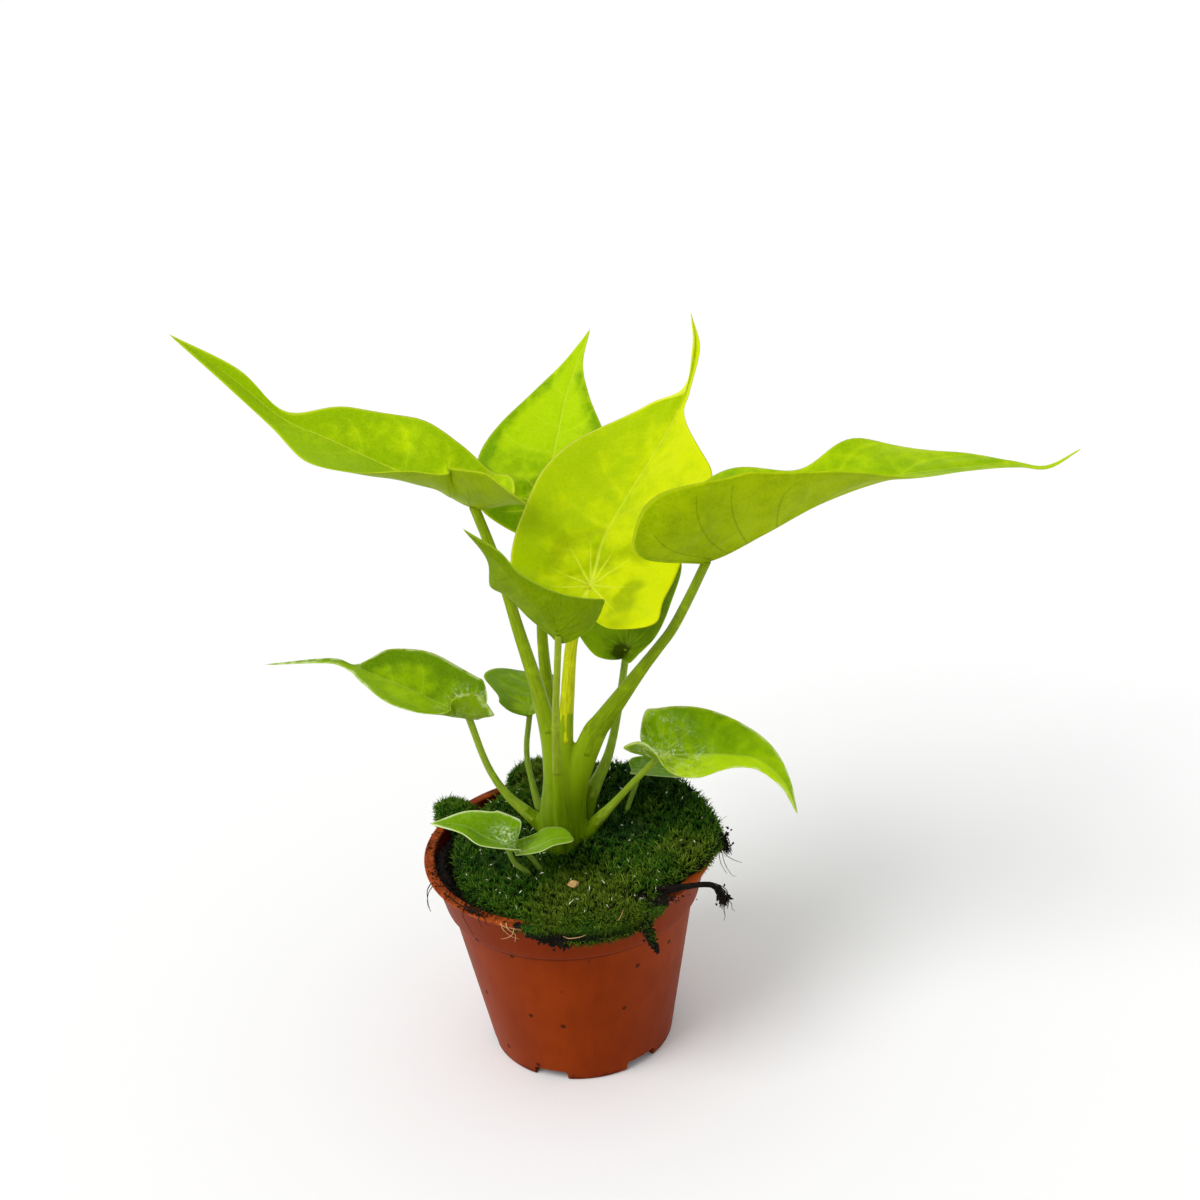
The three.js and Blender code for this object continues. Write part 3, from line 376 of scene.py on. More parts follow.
leaves = {
    "left_high": {
        "tones": {**goldTones, "top": (190, 216, 2), "topShade": (140, 173, 0)},
        "edgeShade": 0.15, "dentShading": (0.4, 22), "lean": (0.5, 0), "rim": (0.2, 0.3),
        "stalkTone": (144, 170, 16), "veins": 0.45, "wave": 0.8, "fine": (128, 30),
        "lobes": [-0.4, 0.3, 0.9, 0.9],
        "stalk": [[-2.5, 2, 66, 4, 4.2], [-2.6, 0, 88, 3.6, 4], [-3, 0, 105, 2.9, 3],
                  [-5.5, 1, 122, 2.3, 2.4], [-9.3, 2, 140, 1.9, 1.9], [-13.4, 3, 160, 1.6, 1.6],
                  [-19.2, 4, 181, 1.5, 1.5]],
        "blade": [
            [-5.5, -5, 184, 9, 6, -20, 40, 30, -10, 20],
            [-19.2, 4, 181, 21, 13, -20, 50, 45, 0, 25], [-31, 10, 186, 21, 16, -20, 35, 45, 3, 20],
            [-45, 16, 191, 19, 18, -20, 15, 40, 5, 15],
            [-60, 21, 198, 15, 13.3, -20, 5, 20, 10, 10],
            [-74, 26, 204, 5.8, 2.6, -25, 10, 10, 15, 5],
            [-88, 31, 216, 4, 3.4, -30, 15, 10, 15, 10], [-105, 36, 229, 0, 0, -30, 10, 10, 10, 10],
        ],
    },
    "back": {
        "tones": {**goldTones, "top": (170, 202, 4), "topShade": (112, 152, 2)},
        "edgeShade": 0.4, "dentShading": (0.4, 20), "lean": (-1.15, 0), "stalkTone": (140, 166, 14),
        "wave": 0.6, "fine": (104, 30), "lobes": [0.2, 0, 0.9, 0.9],
        "stalk": [[0, 4, 64, 3.6, 3.6], [-1, 8, 85, 3, 3], [-2, 10, 102, 2.4, 2.4],
                  [-3, 12, 120, 1.9, 1.9], [-3, 17, 137, 1.6, 1.6], [-0.5, 28, 151, 1.5, 1.5],
                  [1, 36, 166.5, 1.4, 1.4]],
        "blade": [
            [-4, 29, 156, 8, 11, 0, 10, 20, 15, 25], [1, 36, 166.5, 21.5, 22, 0, 10, 20, 10, 20],
            [3, 46, 175, 23, 22, 0, 8, 15, 8, 15], [6, 56, 183, 18.5, 15, 0, 5, 10, 5, 10],
            [9, 65, 191, 11, 8, 0, 5, 5, 5, 5], [13, 75, 198, 4.5, 2.3, 0, 5, 5, 5, 5],
            [18, 85, 206, 0, 0, 0, 5, 5, 5, 5],
        ],
    },
    "centre": {
        "tones": {**goldTones, "top": (200, 214, 0), "topShade": (162, 188, 0)},
        "dentShading": (0.6, 24), "lean": (0, -0.45), "rim": (0.95, 0.1), "stalkTone": (208, 216, 16),
        "veins": 0.35, "wave": 0.8, "fine": (128, 34), "lobes": [0, 0.08, 0.9, 1.05],
        "stalk": [[0, 0, 66, 4, 4], [1, 0, 87, 3.2, 3.2], [1.6, -1, 105, 2.4, 2.4],
                  [3.5, -1, 122, 2.1, 2.1], [6, -2, 139, 1.8, 1.8], [10, -4, 150, 1.6, 1.6],
                  [12.5, -6, 158, 1.5, 1.5]],
        "blade": [
            [6, -16, 151.5, 12, 14.5, 0, 10, 30, -5, 5], [12.5, -6, 158, 24.5, 25, 0, 8, 25, 0, 10],
            [17.5, 4, 168, 26.2, 28, 0, 6, 25, 3, 10], [24.5, 14, 175.5, 27.3, 33, 0, 6, 20, 5, 10],
            [33.5, 24, 184.5, 23, 24, 0, 6, 15, 5, 8], [41.5, 32, 194, 11, 4, 0, 6, 10, 10, 10],
            [45.5, 37, 200, 1.6, 1.4, 0, 20, 10, 20, 10],
            [48.8, 41, 210.5, 1.3, 1.5, 0, 20, 10, 20, 10], [48, 44, 222, 0, 0, 0, 10, 10, 10, 10],
        ],
    },
    "right_high": {
        "tones": {**goldTones, "top": (176, 204, 4), "topShade": (132, 170, 2),
                  "under": (156, 176, 0), "underShade": (110, 136, 0)},
        "gloss": 0.05, "underLean": 0.8, "dentShading": (0.4, 20), "stalkTone": (132, 160, 10),
        "wave": 0.9, "fine": (128, 30), "lobes": [0.5, -0.12, 0.8, 0.88],
        "stalk": [[1.5, 1, 66, 4, 4], [3, 0, 87, 4, 3.6], [9.5, -2.5, 106, 3.8, 2.6],
                  [15, -4.5, 115, 3.2, 2.1], [27, -9.5, 133.5, 1.8, 1.7],
                  [35.8, -13.5, 147, 1.5, 1.5], [45.3, -22, 170.2, 1.3, 1.3]],
        "blade": [
            [25, -27.8, 171.6, 2.5, 15.5, 0, 20, 40, 30, 62],
            [45.5, -22, 170.5, 10, 30.5, 0, 45, 20, 56, 30],
            [61.5, -16, 174.5, 28, 26, 0, 42, 10, 57, 25],
            [79.5, -10, 180.5, 14, 17.5, 0, 12, 10, 42, 20],
            [100.5, -2, 183, 18.5, 14, 0, 15, 15, 15, 10], [121, 5, 181.5, 10, 7, 0, 10, 10, 12, 5],
            [138, 10, 179, 3, 3, 0, 10, 5, 15, 0], [148, 12, 177, 1.2, 1.2, 0, 10, 5, 15, 0],
            [158.5, 15, 181, 0, 0, 0, 5, 5, 5, 5],
        ],
    },
    "front": {
        "tones": {**greenTones, "top": (122, 150, 2), "topShade": (98, 130, 2),
                  "under": (116, 140, 2)},
        "rim": (0.3, 0.1), "stalkTone": (150, 172, 34), "veins": 0.35, "wave": 0.3,
        "fine": (86, 18), "lobes": [0.25, 0.6, 0.9, 0.9],
        "stalk": [[-1, -3, 68, 2.2, 2.2], [-1.5, -9, 90, 1.6, 1.6], [-1, -17, 109, 1.3, 1.3],
                  [0, -25.5, 127, 1.1, 1.1], [1.5, -32, 143, 1, 1], [2.8, -32.8, 155.6, 1, 1]],
        "blade": [
            [6, -32, 150.5, 9.5, 1.5, 60, 30, 40, 10, 20],
            [2.8, -32, 156, 16, 4, 60, 30, 50, 0, 20], [-2, -31, 164, 7, 7.5, 60, 30, 40, -15, 20],
            [-8, -29, 172, 2.5, 14, 60, 30, 30, -20, 30],
            [-13.5, -27, 178.5, 2.5, 4, 60, 30, 20, -10, 30],
            [-21, -25, 186.5, 0, 0, 60, 20, 20, 10, 10],
        ],
    },
    "behind": {
        "tones": {**deepTones, "top": (144, 176, 4), "topShade": (96, 128, 4),
                  "under": (136, 165, 4), "underShade": (100, 130, 4)},
        "stalkTone": (150, 180, 50), "veins": 0.35, "rot": (20, 15.5, 125, 4.5), "fine": (78, 18),
        "lobes": [0, 0, 0.9, 0.9],
        "stalk": [[3, 5, 66, 2.6, 2.6], [8, 9, 80, 2.3, 2.1], [14, 11, 92, 1.5, 1.5],
                  [18, 13, 106, 1.2, 1.2], [22, 16, 126, 1.1, 1.1]],
        "blade": [
            [19, 10, 123, 9, 7, 0, 20, 30, 20, 30], [22, 16, 126, 17, 13, 0, 20, 30, 20, 30],
            [26, 27, 132, 18, 13.5, 0, 15, 25, 15, 25], [30, 38, 140, 14, 13, 0, 10, 20, 10, 20],
            [33, 48, 147, 7, 7, 0, 10, 10, 10, 10], [36, 58, 155, 0, 0, 0, 5, 5, 5, 5],
        ],
    },
    "left_low": {
        "tones": greenTones,
        "edgeShade": 0.3, "dentShading": (0.45, 13), "lit": (0.3, 0), "rim": (0.2, 0.2),
        "stalkTone": (160, 188, 50), "veins": 0.5, "fine": (94, 20), "bloom": 0.85,
        "bloomReach": 13, "lobes": [-0.4, 0.3, 0.9, 0.9],
        "stalk": [[-3, 2, 66, 2.6, 2.6], [-9, 3, 75, 2.3, 2.1], [-17.5, 4, 84.5, 1.4, 1.3],
                  [-23, 4, 96, 1.1, 1.1], [-27, 3, 113.5, 1.1, 1.1]],
        "blade": [
            [-20.5, -2, 115.5, 5.5, 6.5, -10, 25, 60, 25, 35],
            [-27, 3, 113.5, 12.5, 12.5, -10, 22, 55, 25, 30],
            [-36, 7, 116.5, 12.5, 13.2, -10, 12, 30, 20, 20],
            [-46.5, 11, 121, 11, 13.5, -10, 5, 10, 15, 15],
            [-56, 15, 124, 6, 9.8, -15, 10, 10, 10, 10],
            [-61, 17.5, 125.5, 3, 1.2, -15, 10, 10, 10, 10],
            [-69, 21, 126.6, 1.6, 1, -20, 15, 10, 15, 10],
            [-90, 26, 124.5, 0, 0, -20, 10, 10, 10, 10],
        ],
    },
    "back_low": {
        "tones": {**deepTones, "top": (154, 186, 4), "topShade": (106, 142, 2)},
        "edgeShade": 0.35, "gloss": 0.03, "stalkTone": (150, 178, 60), "wave": 0.4,
        "fine": (68, 18), "lobes": [0, 0.4, 0.9, 0.9],
        "stalk": [[-4, 5, 66, 2, 2], [-8, 7, 76, 1.5, 1.5], [-10, 10, 85, 1, 1],
                  [-11, 13, 95, 0.9, 0.9], [-9, 17.5, 106.3, 0.9, 0.9]],
        "blade": [
            [-9.5, 12.5, 106.5, 7, 3, 0, 15, 20, 15, 20],
            [-9, 17.5, 106.3, 11, 6, 0, 20, 15, 15, 20],
            [-7.5, 28, 105.5, 18, 8, 0, 20, 15, 12, 15], [-5.5, 40, 104, 13, 6, 0, 15, 10, 10, 10],
            [-3, 52, 101.5, 0, 0, 0, 5, 5, 5, 5],
        ],
    },
    "right_low": {
        "tones": {**greenTones, "top": (154, 190, 4), "topShade": (104, 144, 2)},
        "dentShading": (0.45, 15), "lit": (0, 0.85), "rim": (0.3, 0.3), "stalkTone": (148, 176, 40),
        "veins": 0.5, "wave": 0.6, "fine": (94, 22), "bloom": 0.85, "bloomReach": 19,
        "lobes": [0.35, -0.4, 0.9, 0.9],
        "stalk": [[1, 0, 66, 2.4, 2.2], [8, -1, 75, 2.1, 1.9], [15, -2, 83, 1.2, 1.2],
                  [22, -3, 91, 1, 1], [30, -3, 99, 1, 1]],
        "blade": [
            [21.5, -5, 101.5, 6.5, 6, 10, 20, 20, 30, 30], [30, -3, 99, 15, 11, 10, 20, 20, 8, 10],
            [41, -2, 97.5, 17.5, 11.5, 10, 15, 15, 0, 5], [52, -3, 97, 12, 6.5, 10, 15, 10, 0, 5],
            [60, -5, 95.5, 7, 5, 5, 15, 10, 0, 5], [66.5, -8, 89, 3, 3, 0, 10, 10, 0, 5],
            [70, -10, 79, 0, 0, 0, 5, 5, 5, 5],
        ],
    },
    "moss_tip": {
        "tones": {**youngTones, "top": (120, 160, 6)},
        "gloss": 0.03, "rim": (0.9, 0.9), "stalkTone": (136, 168, 60), "veins": 0.08, "wave": 0.2,
        "fine": (60, 18), "bloom": 0.8, "bloomReach": 9, "lobes": [0, 0.3, 0.9, 0.9],
        "stalk": [[-12, -16, 67, 1, 1], [-13, -19, 71.5, 0.9, 0.9], [-16, -21, 76, 0.8, 0.8],
                  [-18, -22, 83, 0.8, 0.8]],
        "blade": [
            [-14.5, -22, 81.2, 5, 5, -15, 20, 40, 20, 40],
            [-18, -22, 83, 9, 9, -15, 20, 40, 20, 40], [-24, -22, 86, 9, 9, -15, 15, 35, 15, 35],
            [-30, -21, 90, 5, 5, -15, 10, 20, 10, 20], [-40, -20, 91, 0, 0, -15, 5, 5, 5, 5],
        ],
    },
    "moss_round": {
        "tones": {**youngTones, "top": (126, 166, 4), "topShade": (104, 142, 4)},
        "gloss": 0.03, "rim": (0.7, 0.7), "stalkTone": (136, 168, 60), "veins": 0.08, "wave": 0.1,
        "fine": (60, 18), "bloom": 0.15, "bloomReach": 9, "lobes": [0.2, 0.2, 0.9, 0.9],
        "stalk": [[-8, -14, 66, 0.9, 0.9], [-10, -17, 73, 0.8, 0.8], [-12.5, -20, 79, 0.8, 0.8]],
        "blade": [
            [-17, -21, 79, 4.5, 4.5, -10, 10, 10, 10, 10],
            [-12.5, -20, 79, 6.5, 6.5, -10, 10, 10, 10, 10],
            [-8, -19, 80, 7.5, 7.5, -10, 5, 10, 5, 10],
            [-4.5, -18.2, 81, 7.7, 7.4, -10, 5, 10, 5, 10],
            [0.2, -17.3, 80.9, 6, 5.8, -10, 5, 10, 5, 10], [2, -17, 80.5, 0, 0, -10, 5, 5, 5, 5],
        ],
    },
    "moss_hidden": {
        "tones": youngTones,
        "rim": (0.5, 0.5), "stalkTone": (136, 168, 60), "veins": 0.1, "wave": 0.1, "fine": (52, 16),
        "bloom": 0.3, "bloomReach": 6, "lobes": [0, 0, 0.9, 0.9],
        "stalk": [[17, 9, 69, 0.9, 0.9], [20, 12, 75, 0.8, 0.8], [24, 15, 84, 0.8, 0.8]],
        "blade": [
            [20.5, 15, 84, 4, 4, 0, 10, 10, 10, 10], [24, 15, 84, 6, 6, 0, 10, 10, 10, 10],
            [29, 15, 84, 7, 7, 0, 5, 10, 5, 10], [34, 14, 83, 5, 5, 0, 5, 10, 5, 10],
            [40, 13, 81, 0, 0, 0, 5, 5, 5, 5],
        ],
    },
}

bladeFinish = {
    "halfThickness": 0.22,
    "firstVein": 0.15,
    "veinStep": 0.095,
    "veinSweep": 0.05,
    "veinShift": 0.02,
    "veinLine": (0.55, 0.3),     # half width of a line, and how much thinner it is at its end
    "ribLine": (1.15, 0.85),
    "rayLine": (0.68, 0.03, 0.16),     # the same for each millimetre, and the least
    "quilting": 0.45,
    "ribDepth": 0.55,
    "ribWidth": 0.9,
    "starReach": 17,
    "starAngles": (21, 47, 86, 121),
    "mottle": (0.42, 0.82),
    "litTone": (188, 222, 0),
    "markTone": (222, 234, 190),
    "rotTone": (26, 40, 2),
}


def sided(left, first, second, u):
    # The first list at u on the left half, the second on the right one
    return np.where(left, through(first, u), through(second, u))


def bladePoint(leaf, u, q, w):
    # A point at station u and q out from the midrib, on a half that is w wide: out along an arc
    # that starts at the fold's angle and bends by the curl over the half's width, plus a ripple
    # that grows with the square of the reach.
    stations = np.asarray(leaf["blade"], float)
    last = len(stations) - 1
    rib, before, after = [through(stations[:, :3], v) for v in
                          (u, u - 0.05, np.minimum(u + 0.05, last))]
    along = unit(after - before)
    level = unit(np.array([0, 0, 1.0]) - along * along[..., 2:])
    side = np.cross(along, level)
    roll = np.radians(through(stations[:, 5], u))[..., None]
    up = level * np.cos(roll) + side * np.sin(roll)
    left, reach = q < 0, np.abs(q)
    fold, curl = [np.radians(sided(left, stations[:, k], stations[:, k + 2], u)) for k in (6, 7)]
    curl = curl / np.maximum(w, 0.01)
    bend = np.where(np.abs(curl) < 1e-5, 1e-5, curl)
    out = (np.sin(fold + bend * reach) - np.sin(fold)) / bend
    rise = (np.cos(fold) - np.cos(fold + bend * reach)) / bend
    joint = np.where(left, stations[1, 3], stations[1, 4])
    ripple = leaf["wave"] * (reach / joint) ** 2 * np.sin(2.4 * u + np.where(left, 0, 1.7))
    across = np.cross(along, up) * (np.sign(q) * out)[..., None]
    return rib + across + up * (rise + ripple)[..., None]


def bladeOutline(leaf, half):
    # Position in stations and half width, from the notch back round the lobe and on to the tip
    stations = np.asarray(leaf["blade"], float)
    length = np.linalg.norm(stations[0, :3] - stations[1, :3])
    notch = max(1 - (2 * leaf["stalk"][-1][3] + 1.2) / length, 0.25)
    back, fullness = leaf["lobes"][half], leaf["lobes"][2 + half]
    endWidth, lobe = stations[0, 3 + half], stations[1, 3 + half]
    start = [[notch, 0], [0.5 * (notch + back), 0.12 * lobe],
             [back + 0.12 * (notch - back), 0.55 * endWidth], [back, endWidth],
             [0.3 + 0.7 * back, fullness * lobe]]
    rest = [[i, stations[i, 3 + half]] for i in range(1, len(stations))]
    return np.array(start + rest), notch


def bladeShell(leaf):
    # A closed thin shell round the middle surface. Rows run from the midrib out to the margin.
    # Veins leave the midrib at even shares t of the blade and sweep towards the tip with the cube
    # of the share s of the way out.
    rows, cells = leaf["fine"]
    finish, stations = bladeFinish, np.asarray(leaf["blade"], float)
    tip = len(stations) - 1
    t, s = np.meshgrid(np.linspace(0, 1, rows + 1), np.linspace(-1, 1, 2 * cells + 1),
                       indexing="ij")
    (first, notch), (second, _) = [bladeOutline(leaf, half) for half in (0, 1)]
    j, out = t * (len(first) - 1), np.abs(s)
    edgeAt, edgeWidth = [sided(s < 0, first[:, k], second[:, k], j) for k in (0, 1)]
    edgeWidth = np.maximum(edgeWidth, 0)
    ribAt = notch + (tip - notch) * (0.08 * t + 0.92 * t ** 2.8)
    u = np.minimum(ribAt + out * (edgeAt - ribAt), tip)
    full = np.maximum(sided(s < 0, stations[:, 3], stations[:, 4], np.maximum(u, 0)), 0.5)
    middle = bladePoint(leaf, u, s * edgeWidth, full)
    byRow, byColumn = np.gradient(middle, axis=(0, 1))
    facing = np.cross(byColumn, byRow)
    facing[0], facing[-1] = facing[1].mean(0), facing[-2].mean(0)
    facing = unit(facing)
    rowGap = np.linalg.norm(np.cross(byRow, unit(byColumn)), axis=-1) * rows
    rowGap[0], rowGap[-1] = rowGap[1], rowGap[-2]
    reach, edge = out * edgeWidth, (1 - out) * edgeWidth
    # Between the main veins the blade puffs up a little, so they lie sunk above and proud below
    start = finish["firstVein"] + np.where(s < 0, finish["veinShift"], 0)
    steps = (t - finish["veinSweep"] * out ** 3 - start) / finish["veinStep"]
    puff = np.sin(np.pi * (steps - np.round(steps))) ** 2
    puff = puff * np.minimum(rowGap * finish["veinStep"] / 8, 1)
    puff = puff * (1 - out ** 3) * np.minimum(reach / 3, 1) * np.minimum(t * 6, 1)
    puff = finish["quilting"] * puff * (np.max(edgeWidth) / 25)
    rib = finish["ribDepth"] * np.exp(-(reach / finish["ribWidth"]) ** 2)
    rib = rib * (1 - t) * np.minimum(t * 8, 1)
    half = finish["halfThickness"] * np.sqrt(1 - out ** 12)
    top = middle + facing * (puff + half)[..., None]
    bottom = middle + facing * (puff - half - rib)[..., None]
    top[:, [0, -1]] = middle[:, [0, -1]]
    above = np.arange(t.size).reshape(t.shape)
    below = above + t.size
    for at in (above, below):
        at[0], at[-1] = above[0, 0], above[-1, 0]
    below[:, 0], below[:, -1] = above[:, 0], above[:, -1]
    triangles = np.concatenate([gridTriangles(above), gridTriangles(below)[:, ::-1]])
    # Millimetres along and across from the top of the stalk
    legs = np.linalg.norm(np.diff(stations[:, :3], axis=0), axis=1)
    travelled = np.concatenate([[0], np.cumsum(legs)])
    along = np.interp(u, np.arange(tip + 1), travelled) - travelled[1]
    twice = lambda *parts: np.tile(vectors(*parts).reshape(-1, 3), (2, 1))
    reachMap = twice(reach, edge, 0)
    reachMap[:t.size, 2] = 1
    maps = {"leafMap": twice(t, s, rowGap), "reachMap": reachMap,
            "starMap": twice(along, s * edgeWidth, 0)}
    return (np.concatenate([top.reshape(-1, 3), bottom.reshape(-1, 3)]), triangles), maps


def bladeMaterial(name, leaf):
    material, ink, place = newMaterial(f"blade {name.replace('_', ' ')}")
    tones, finish, veins = leaf["tones"], bladeFinish, leaf["veins"]
    t, s, rowGap = ink.attribute("leafMap")
    reach, edge, upper = ink.attribute("reachMap")
    along, across, _ = ink.attribute("starMap")
    out = s.size()
    leftHalf = 1 - (s * 1000).rise(-1, 1)
    halves = lambda pair: leftHalf * pair[0] + (1 - leftHalf) * pair[1]
    # The main veins start at the top of the stalk as a pale star, its rays at set angles
    distance = (along * along + across * across) ** 0.5
    turn = ink.maths("ARCTAN2", across.size(), along) + 0.11 * leftHalf
    star = 0
    rayWide, rayThinner, rayLeast = finish["rayLine"]
    for angle in finish["starAngles"]:
        line = (distance * ink.maths("SINE", turn - float(np.radians(angle)))).size()
        ray = 1 - (line / (rayWide - rayThinner * distance).most(rayLeast)).rise(0.1, 1)
        star = ray.most(star)
    centre = 1 - distance.rise(2, finish["starReach"])
    uneven = 1 - (1 - 1.7 * ink.noise(place, 240, 2)).most(0)
    star = star * uneven * centre * distance.rise(0.2, 1) * min(0.85, 2.4 * veins)
    # Away is the millimetres from the nearest main vein
    steps = t - finish["veinSweep"] * out ** 3 - finish["firstVein"]
    steps = (steps - finish["veinShift"] * leftHalf) / finish["veinStep"]
    away = ((steps + 0.5).part() - 0.5).size() * rowGap * finish["veinStep"]
    (veinWide, veinThinner), (ribWide, ribThinner) = finish["veinLine"], finish["ribLine"]
    vein = 1 - (away / (veinWide - veinThinner * out)).rise(0.15, 1)
    vein = vein * t.rise(0.04, 0.12) * edge.rise(0.5, 5)
    rib = (1 - (reach / (ribWide - ribThinner * t)).rise(0.35, 1)) * t.rise(0.02, 0.1)
    cells = {"Vector": place, "Scale": 620, "Randomness": 0.9}
    net = ink.node("TexVoronoi", {"feature": "DISTANCE_TO_EDGE"}, cells)
    broad = ink.noise(place, 48, 2)
    patch = ink.noise(place, 210, 4, 0.6)
    wrinkle = ink.noise(place, 380, 3, 0.6)
    fine = ink.noise(place, 900)
    # The upper side: blotches of shade, then the light through it, painted shade in the dents,
    # star, veins and midrib
    lengthwise, sideways = leaf["lean"]
    shade = broad * 0.5 + patch * 0.45 + wrinkle * 0.15 + 0.06 * fine
    shade = shade + lengthwise * (t - 0.5) + sideways * s * 0.5
    shade = shade + leaf["edgeShade"] * (1 - edge.rise(0, 6))
    shade = (shade + 0.14 * veins * (away / 2.4).rise(0, 1)).rise(*finish["mottle"])
    top = ink.mix(shade, tones["top"], tones["topShade"])
    if any(leaf["lit"]):
        lit = halves(leaf["lit"]) * t.rise(-0.1, 0.25) * (1.2 - 0.6 * patch)
        top = ink.mix(lit, top, finish["litTone"])
    # Painted shade: the dents round the stalk's top are darkened in colour, as well as in relief
    strength, dentReach = leaf["dentShading"]
    ring = distance.rise(1, 0.3 * dentReach) * (1 - distance.rise(0.6 * dentReach, dentReach))
    dentShade = ink.noise(place, 120, 1).rise(0.42, 0.68) * ring * (1 - star)
    lines = (vein * 0.16 * veins).most(star * 0.8)
    lines = lines.most(rib * (0.28 + 0.4 * centre) * min(1, 0.3 + 2 * veins))
    top = ink.paint(top, (dentShade * strength, tone(tones["topShade"], 0.8)), (lines, tones["vein"]))
    # The underside, darker at the margin and along the veins
    darker = tones["underShade"]
    under = ink.paint(
        tones["under"], ((patch * 0.5 + broad * 0.5).rise(0.4, 0.64) * 0.5, darker),
        ((0.5 - t) * leaf["underLean"], darker), ((1 - edge.rise(0, 3)) * 0.45, darker),
        (vein.most(rib * 0.4) * 0.75 * veins, tone(darker, 0.85)))
    # Both sides: the net of fine veins and the pale margin
    colour = ink.paint(
        ink.mix(upper, under, top), ((1 - net.rise(0.0, 0.13)) * 0.07, tones["vein"]),
        ((1 - edge.rise(0.22, 0.6)) * halves(leaf["rim"]), tones["vein"]))
    if leaf["bloom"]:
        # Dried water marks and a pale bloom near the stalk and along the margin
        bloomReach = leaf["bloomReach"] * metre
        near = 1 - ink.gap(place, leaf["blade"][1][:3]).rise(0.3 * bloomReach, bloomReach)
        blot = ink.noise(place, 330, 3, 0.5)
        colour = ink.mix(blot.rise(0.5, 0.56) * near * 0.5, colour, tones["topShade"])
        ringed = 1 - ((blot - 0.53).size() / 0.035).rise(0.2, 1)
        powder = ink.noise(place, 1100, 4, 0.75).rise(0.48, 0.62)
        powder = powder * ink.noise(place, 190, 2).rise(0.47, 0.58)
        rim = (1 - edge.rise(0.25, 1.0)) * ink.noise(place, 300).rise(0.42, 0.62)
        marks = (ringed * near * 0.16).most(powder * near).most(rim * 0.5)
        colour = ink.mix(marks * leaf["bloom"], colour, finish["markTone"])
    if "rot" in leaf:
        *spot, size = leaf["rot"]
        rot = ink.gap(place, spot) / (size * metre) + (patch - 0.5) * 1.6
        colour = ink.mix((1 - rot.rise(0.5, 1.1)) * 0.85, colour, finish["rotTone"])
    rough = 0.38 + 0.14 * patch + 0.12 * (1 - upper)
    relief = vein * -0.2 * veins - star * 0.7 + rib * -0.3 - dentShade * 1.6
    relief = relief + patch * 0.9 + wrinkle * 0.6 + fine * 0.08
    surface(ink, colour, rough, leaf["gloss"], (0.8, 1, 0.06), (0.5, (0.9, 1, 0.1), 1.6), relief,
            0.4)
    return material


def stalkMaterial(name, screenTone):
    material, ink, place = newMaterial(f"stalk {name.replace('_', ' ')}")
    along, cos, sin = ink.attribute("stalkMap")
    wound = ink.node("CombineXYZ", None, {0: along * 2.2, 1: cos, 2: sin})
    streak = ink.noise(wound, 5.5, 4, 0.6)
    patch = ink.noise(place, 260, 4)
    colour = ink.paint(tone(screenTone, 0.84), (streak.rise(0.35, 0.7), screenTone),
                       (patch.rise(0.5, 0.75) * 0.45, tone(screenTone, 1.16)))
    surface(ink, colour, 0.4 + 0.15 * patch, 0.34, (0.85, 1, 0.12), (0.5, (1, 1, 0.1), 1.2),
            streak * 0.7 + patch * 0.3, 0.2)
    return material


# Share of each stalk's path that is wrapped in the crown
sheathShare = {
    "left_high": 0.46, "back": 0.4, "centre": 0.42, "right_high": 0.36, "front": 0.4,
    "behind": 0.3, "left_low": 0.36, "back_low": 0.3, "right_low": 0.34,
}


def addLeaves():
    ribs = lambda share, angle: (1 + 0.02 * np.sin(7 * angle + 2 * share)
                                 + 0.015 * np.sin(3 * angle + 9 * share))
    for name, own in leaves.items():
        leaf = {**leafBasis, **own}
        mesh, maps = bladeShell(leaf)
        addPiece(f"blade_{name}", leaf["tones"]["slot"], [f"leaf_{name}_blade"], mesh,
                 bladeMaterial(name, leaf), maps)
        rows = partOfPath(leaf["stalk"], sheathShare.get(name, 0) * 0.8, 1)
        rows[:, 3:] *= 0.985
        *mesh, place = tube(rows, 50, 24, ribs)
        addPiece(f"stalk_{name}", "stalk", [f"leaf_{name}_stalk"], mesh,
                 stalkMaterial(name, leaf["stalkTone"]), {"stalkMap": place})


# Crown: the leaves' sheaths wrapped round each other

crown = {
    "core": [[-2, 1, 53, 5, 5], [-2.5, 1, 62, 6.2, 6.4], [-2.6, 1, 74, 6.4, 6.6],
             [-1.2, 1, 88, 5.4, 5.6], [-1, 1, 102, 4, 4.4], [-1, 1, 112, 2.2, 3]],
    "voxel": 0.5,
    "tone": (108, 140, 4),
    "paleTone": (142, 168, 14),
    "darkTone": (66, 100, 0),
}


def crownMaterial():
    material, ink, place = newMaterial("crown sheaths")
    drawnOut = ink.node("Mapping", None, {"Vector": place, "Scale": (1, 1, 0.07)})
    streak = ink.noise(drawnOut, 420, 4, 0.6)
    patch = ink.noise(place, 160)
    height = ink.axes(place)[2] * 1000
    colour = ink.paint(crown["darkTone"], (streak.rise(0.2, 0.6), crown["tone"]),
                       (height.rise(70, 108) * 0.7, crown["paleTone"]),
                       (patch.rise(0.5, 0.8) * 0.3, crown["paleTone"]))
    surface(ink, colour, 0.42, 0.34, (0.85, 1, 0.1), (0.5, (1, 1, 0.1), 1.5),
            streak * 0.7 + patch * 0.3, 0.25)
    return material


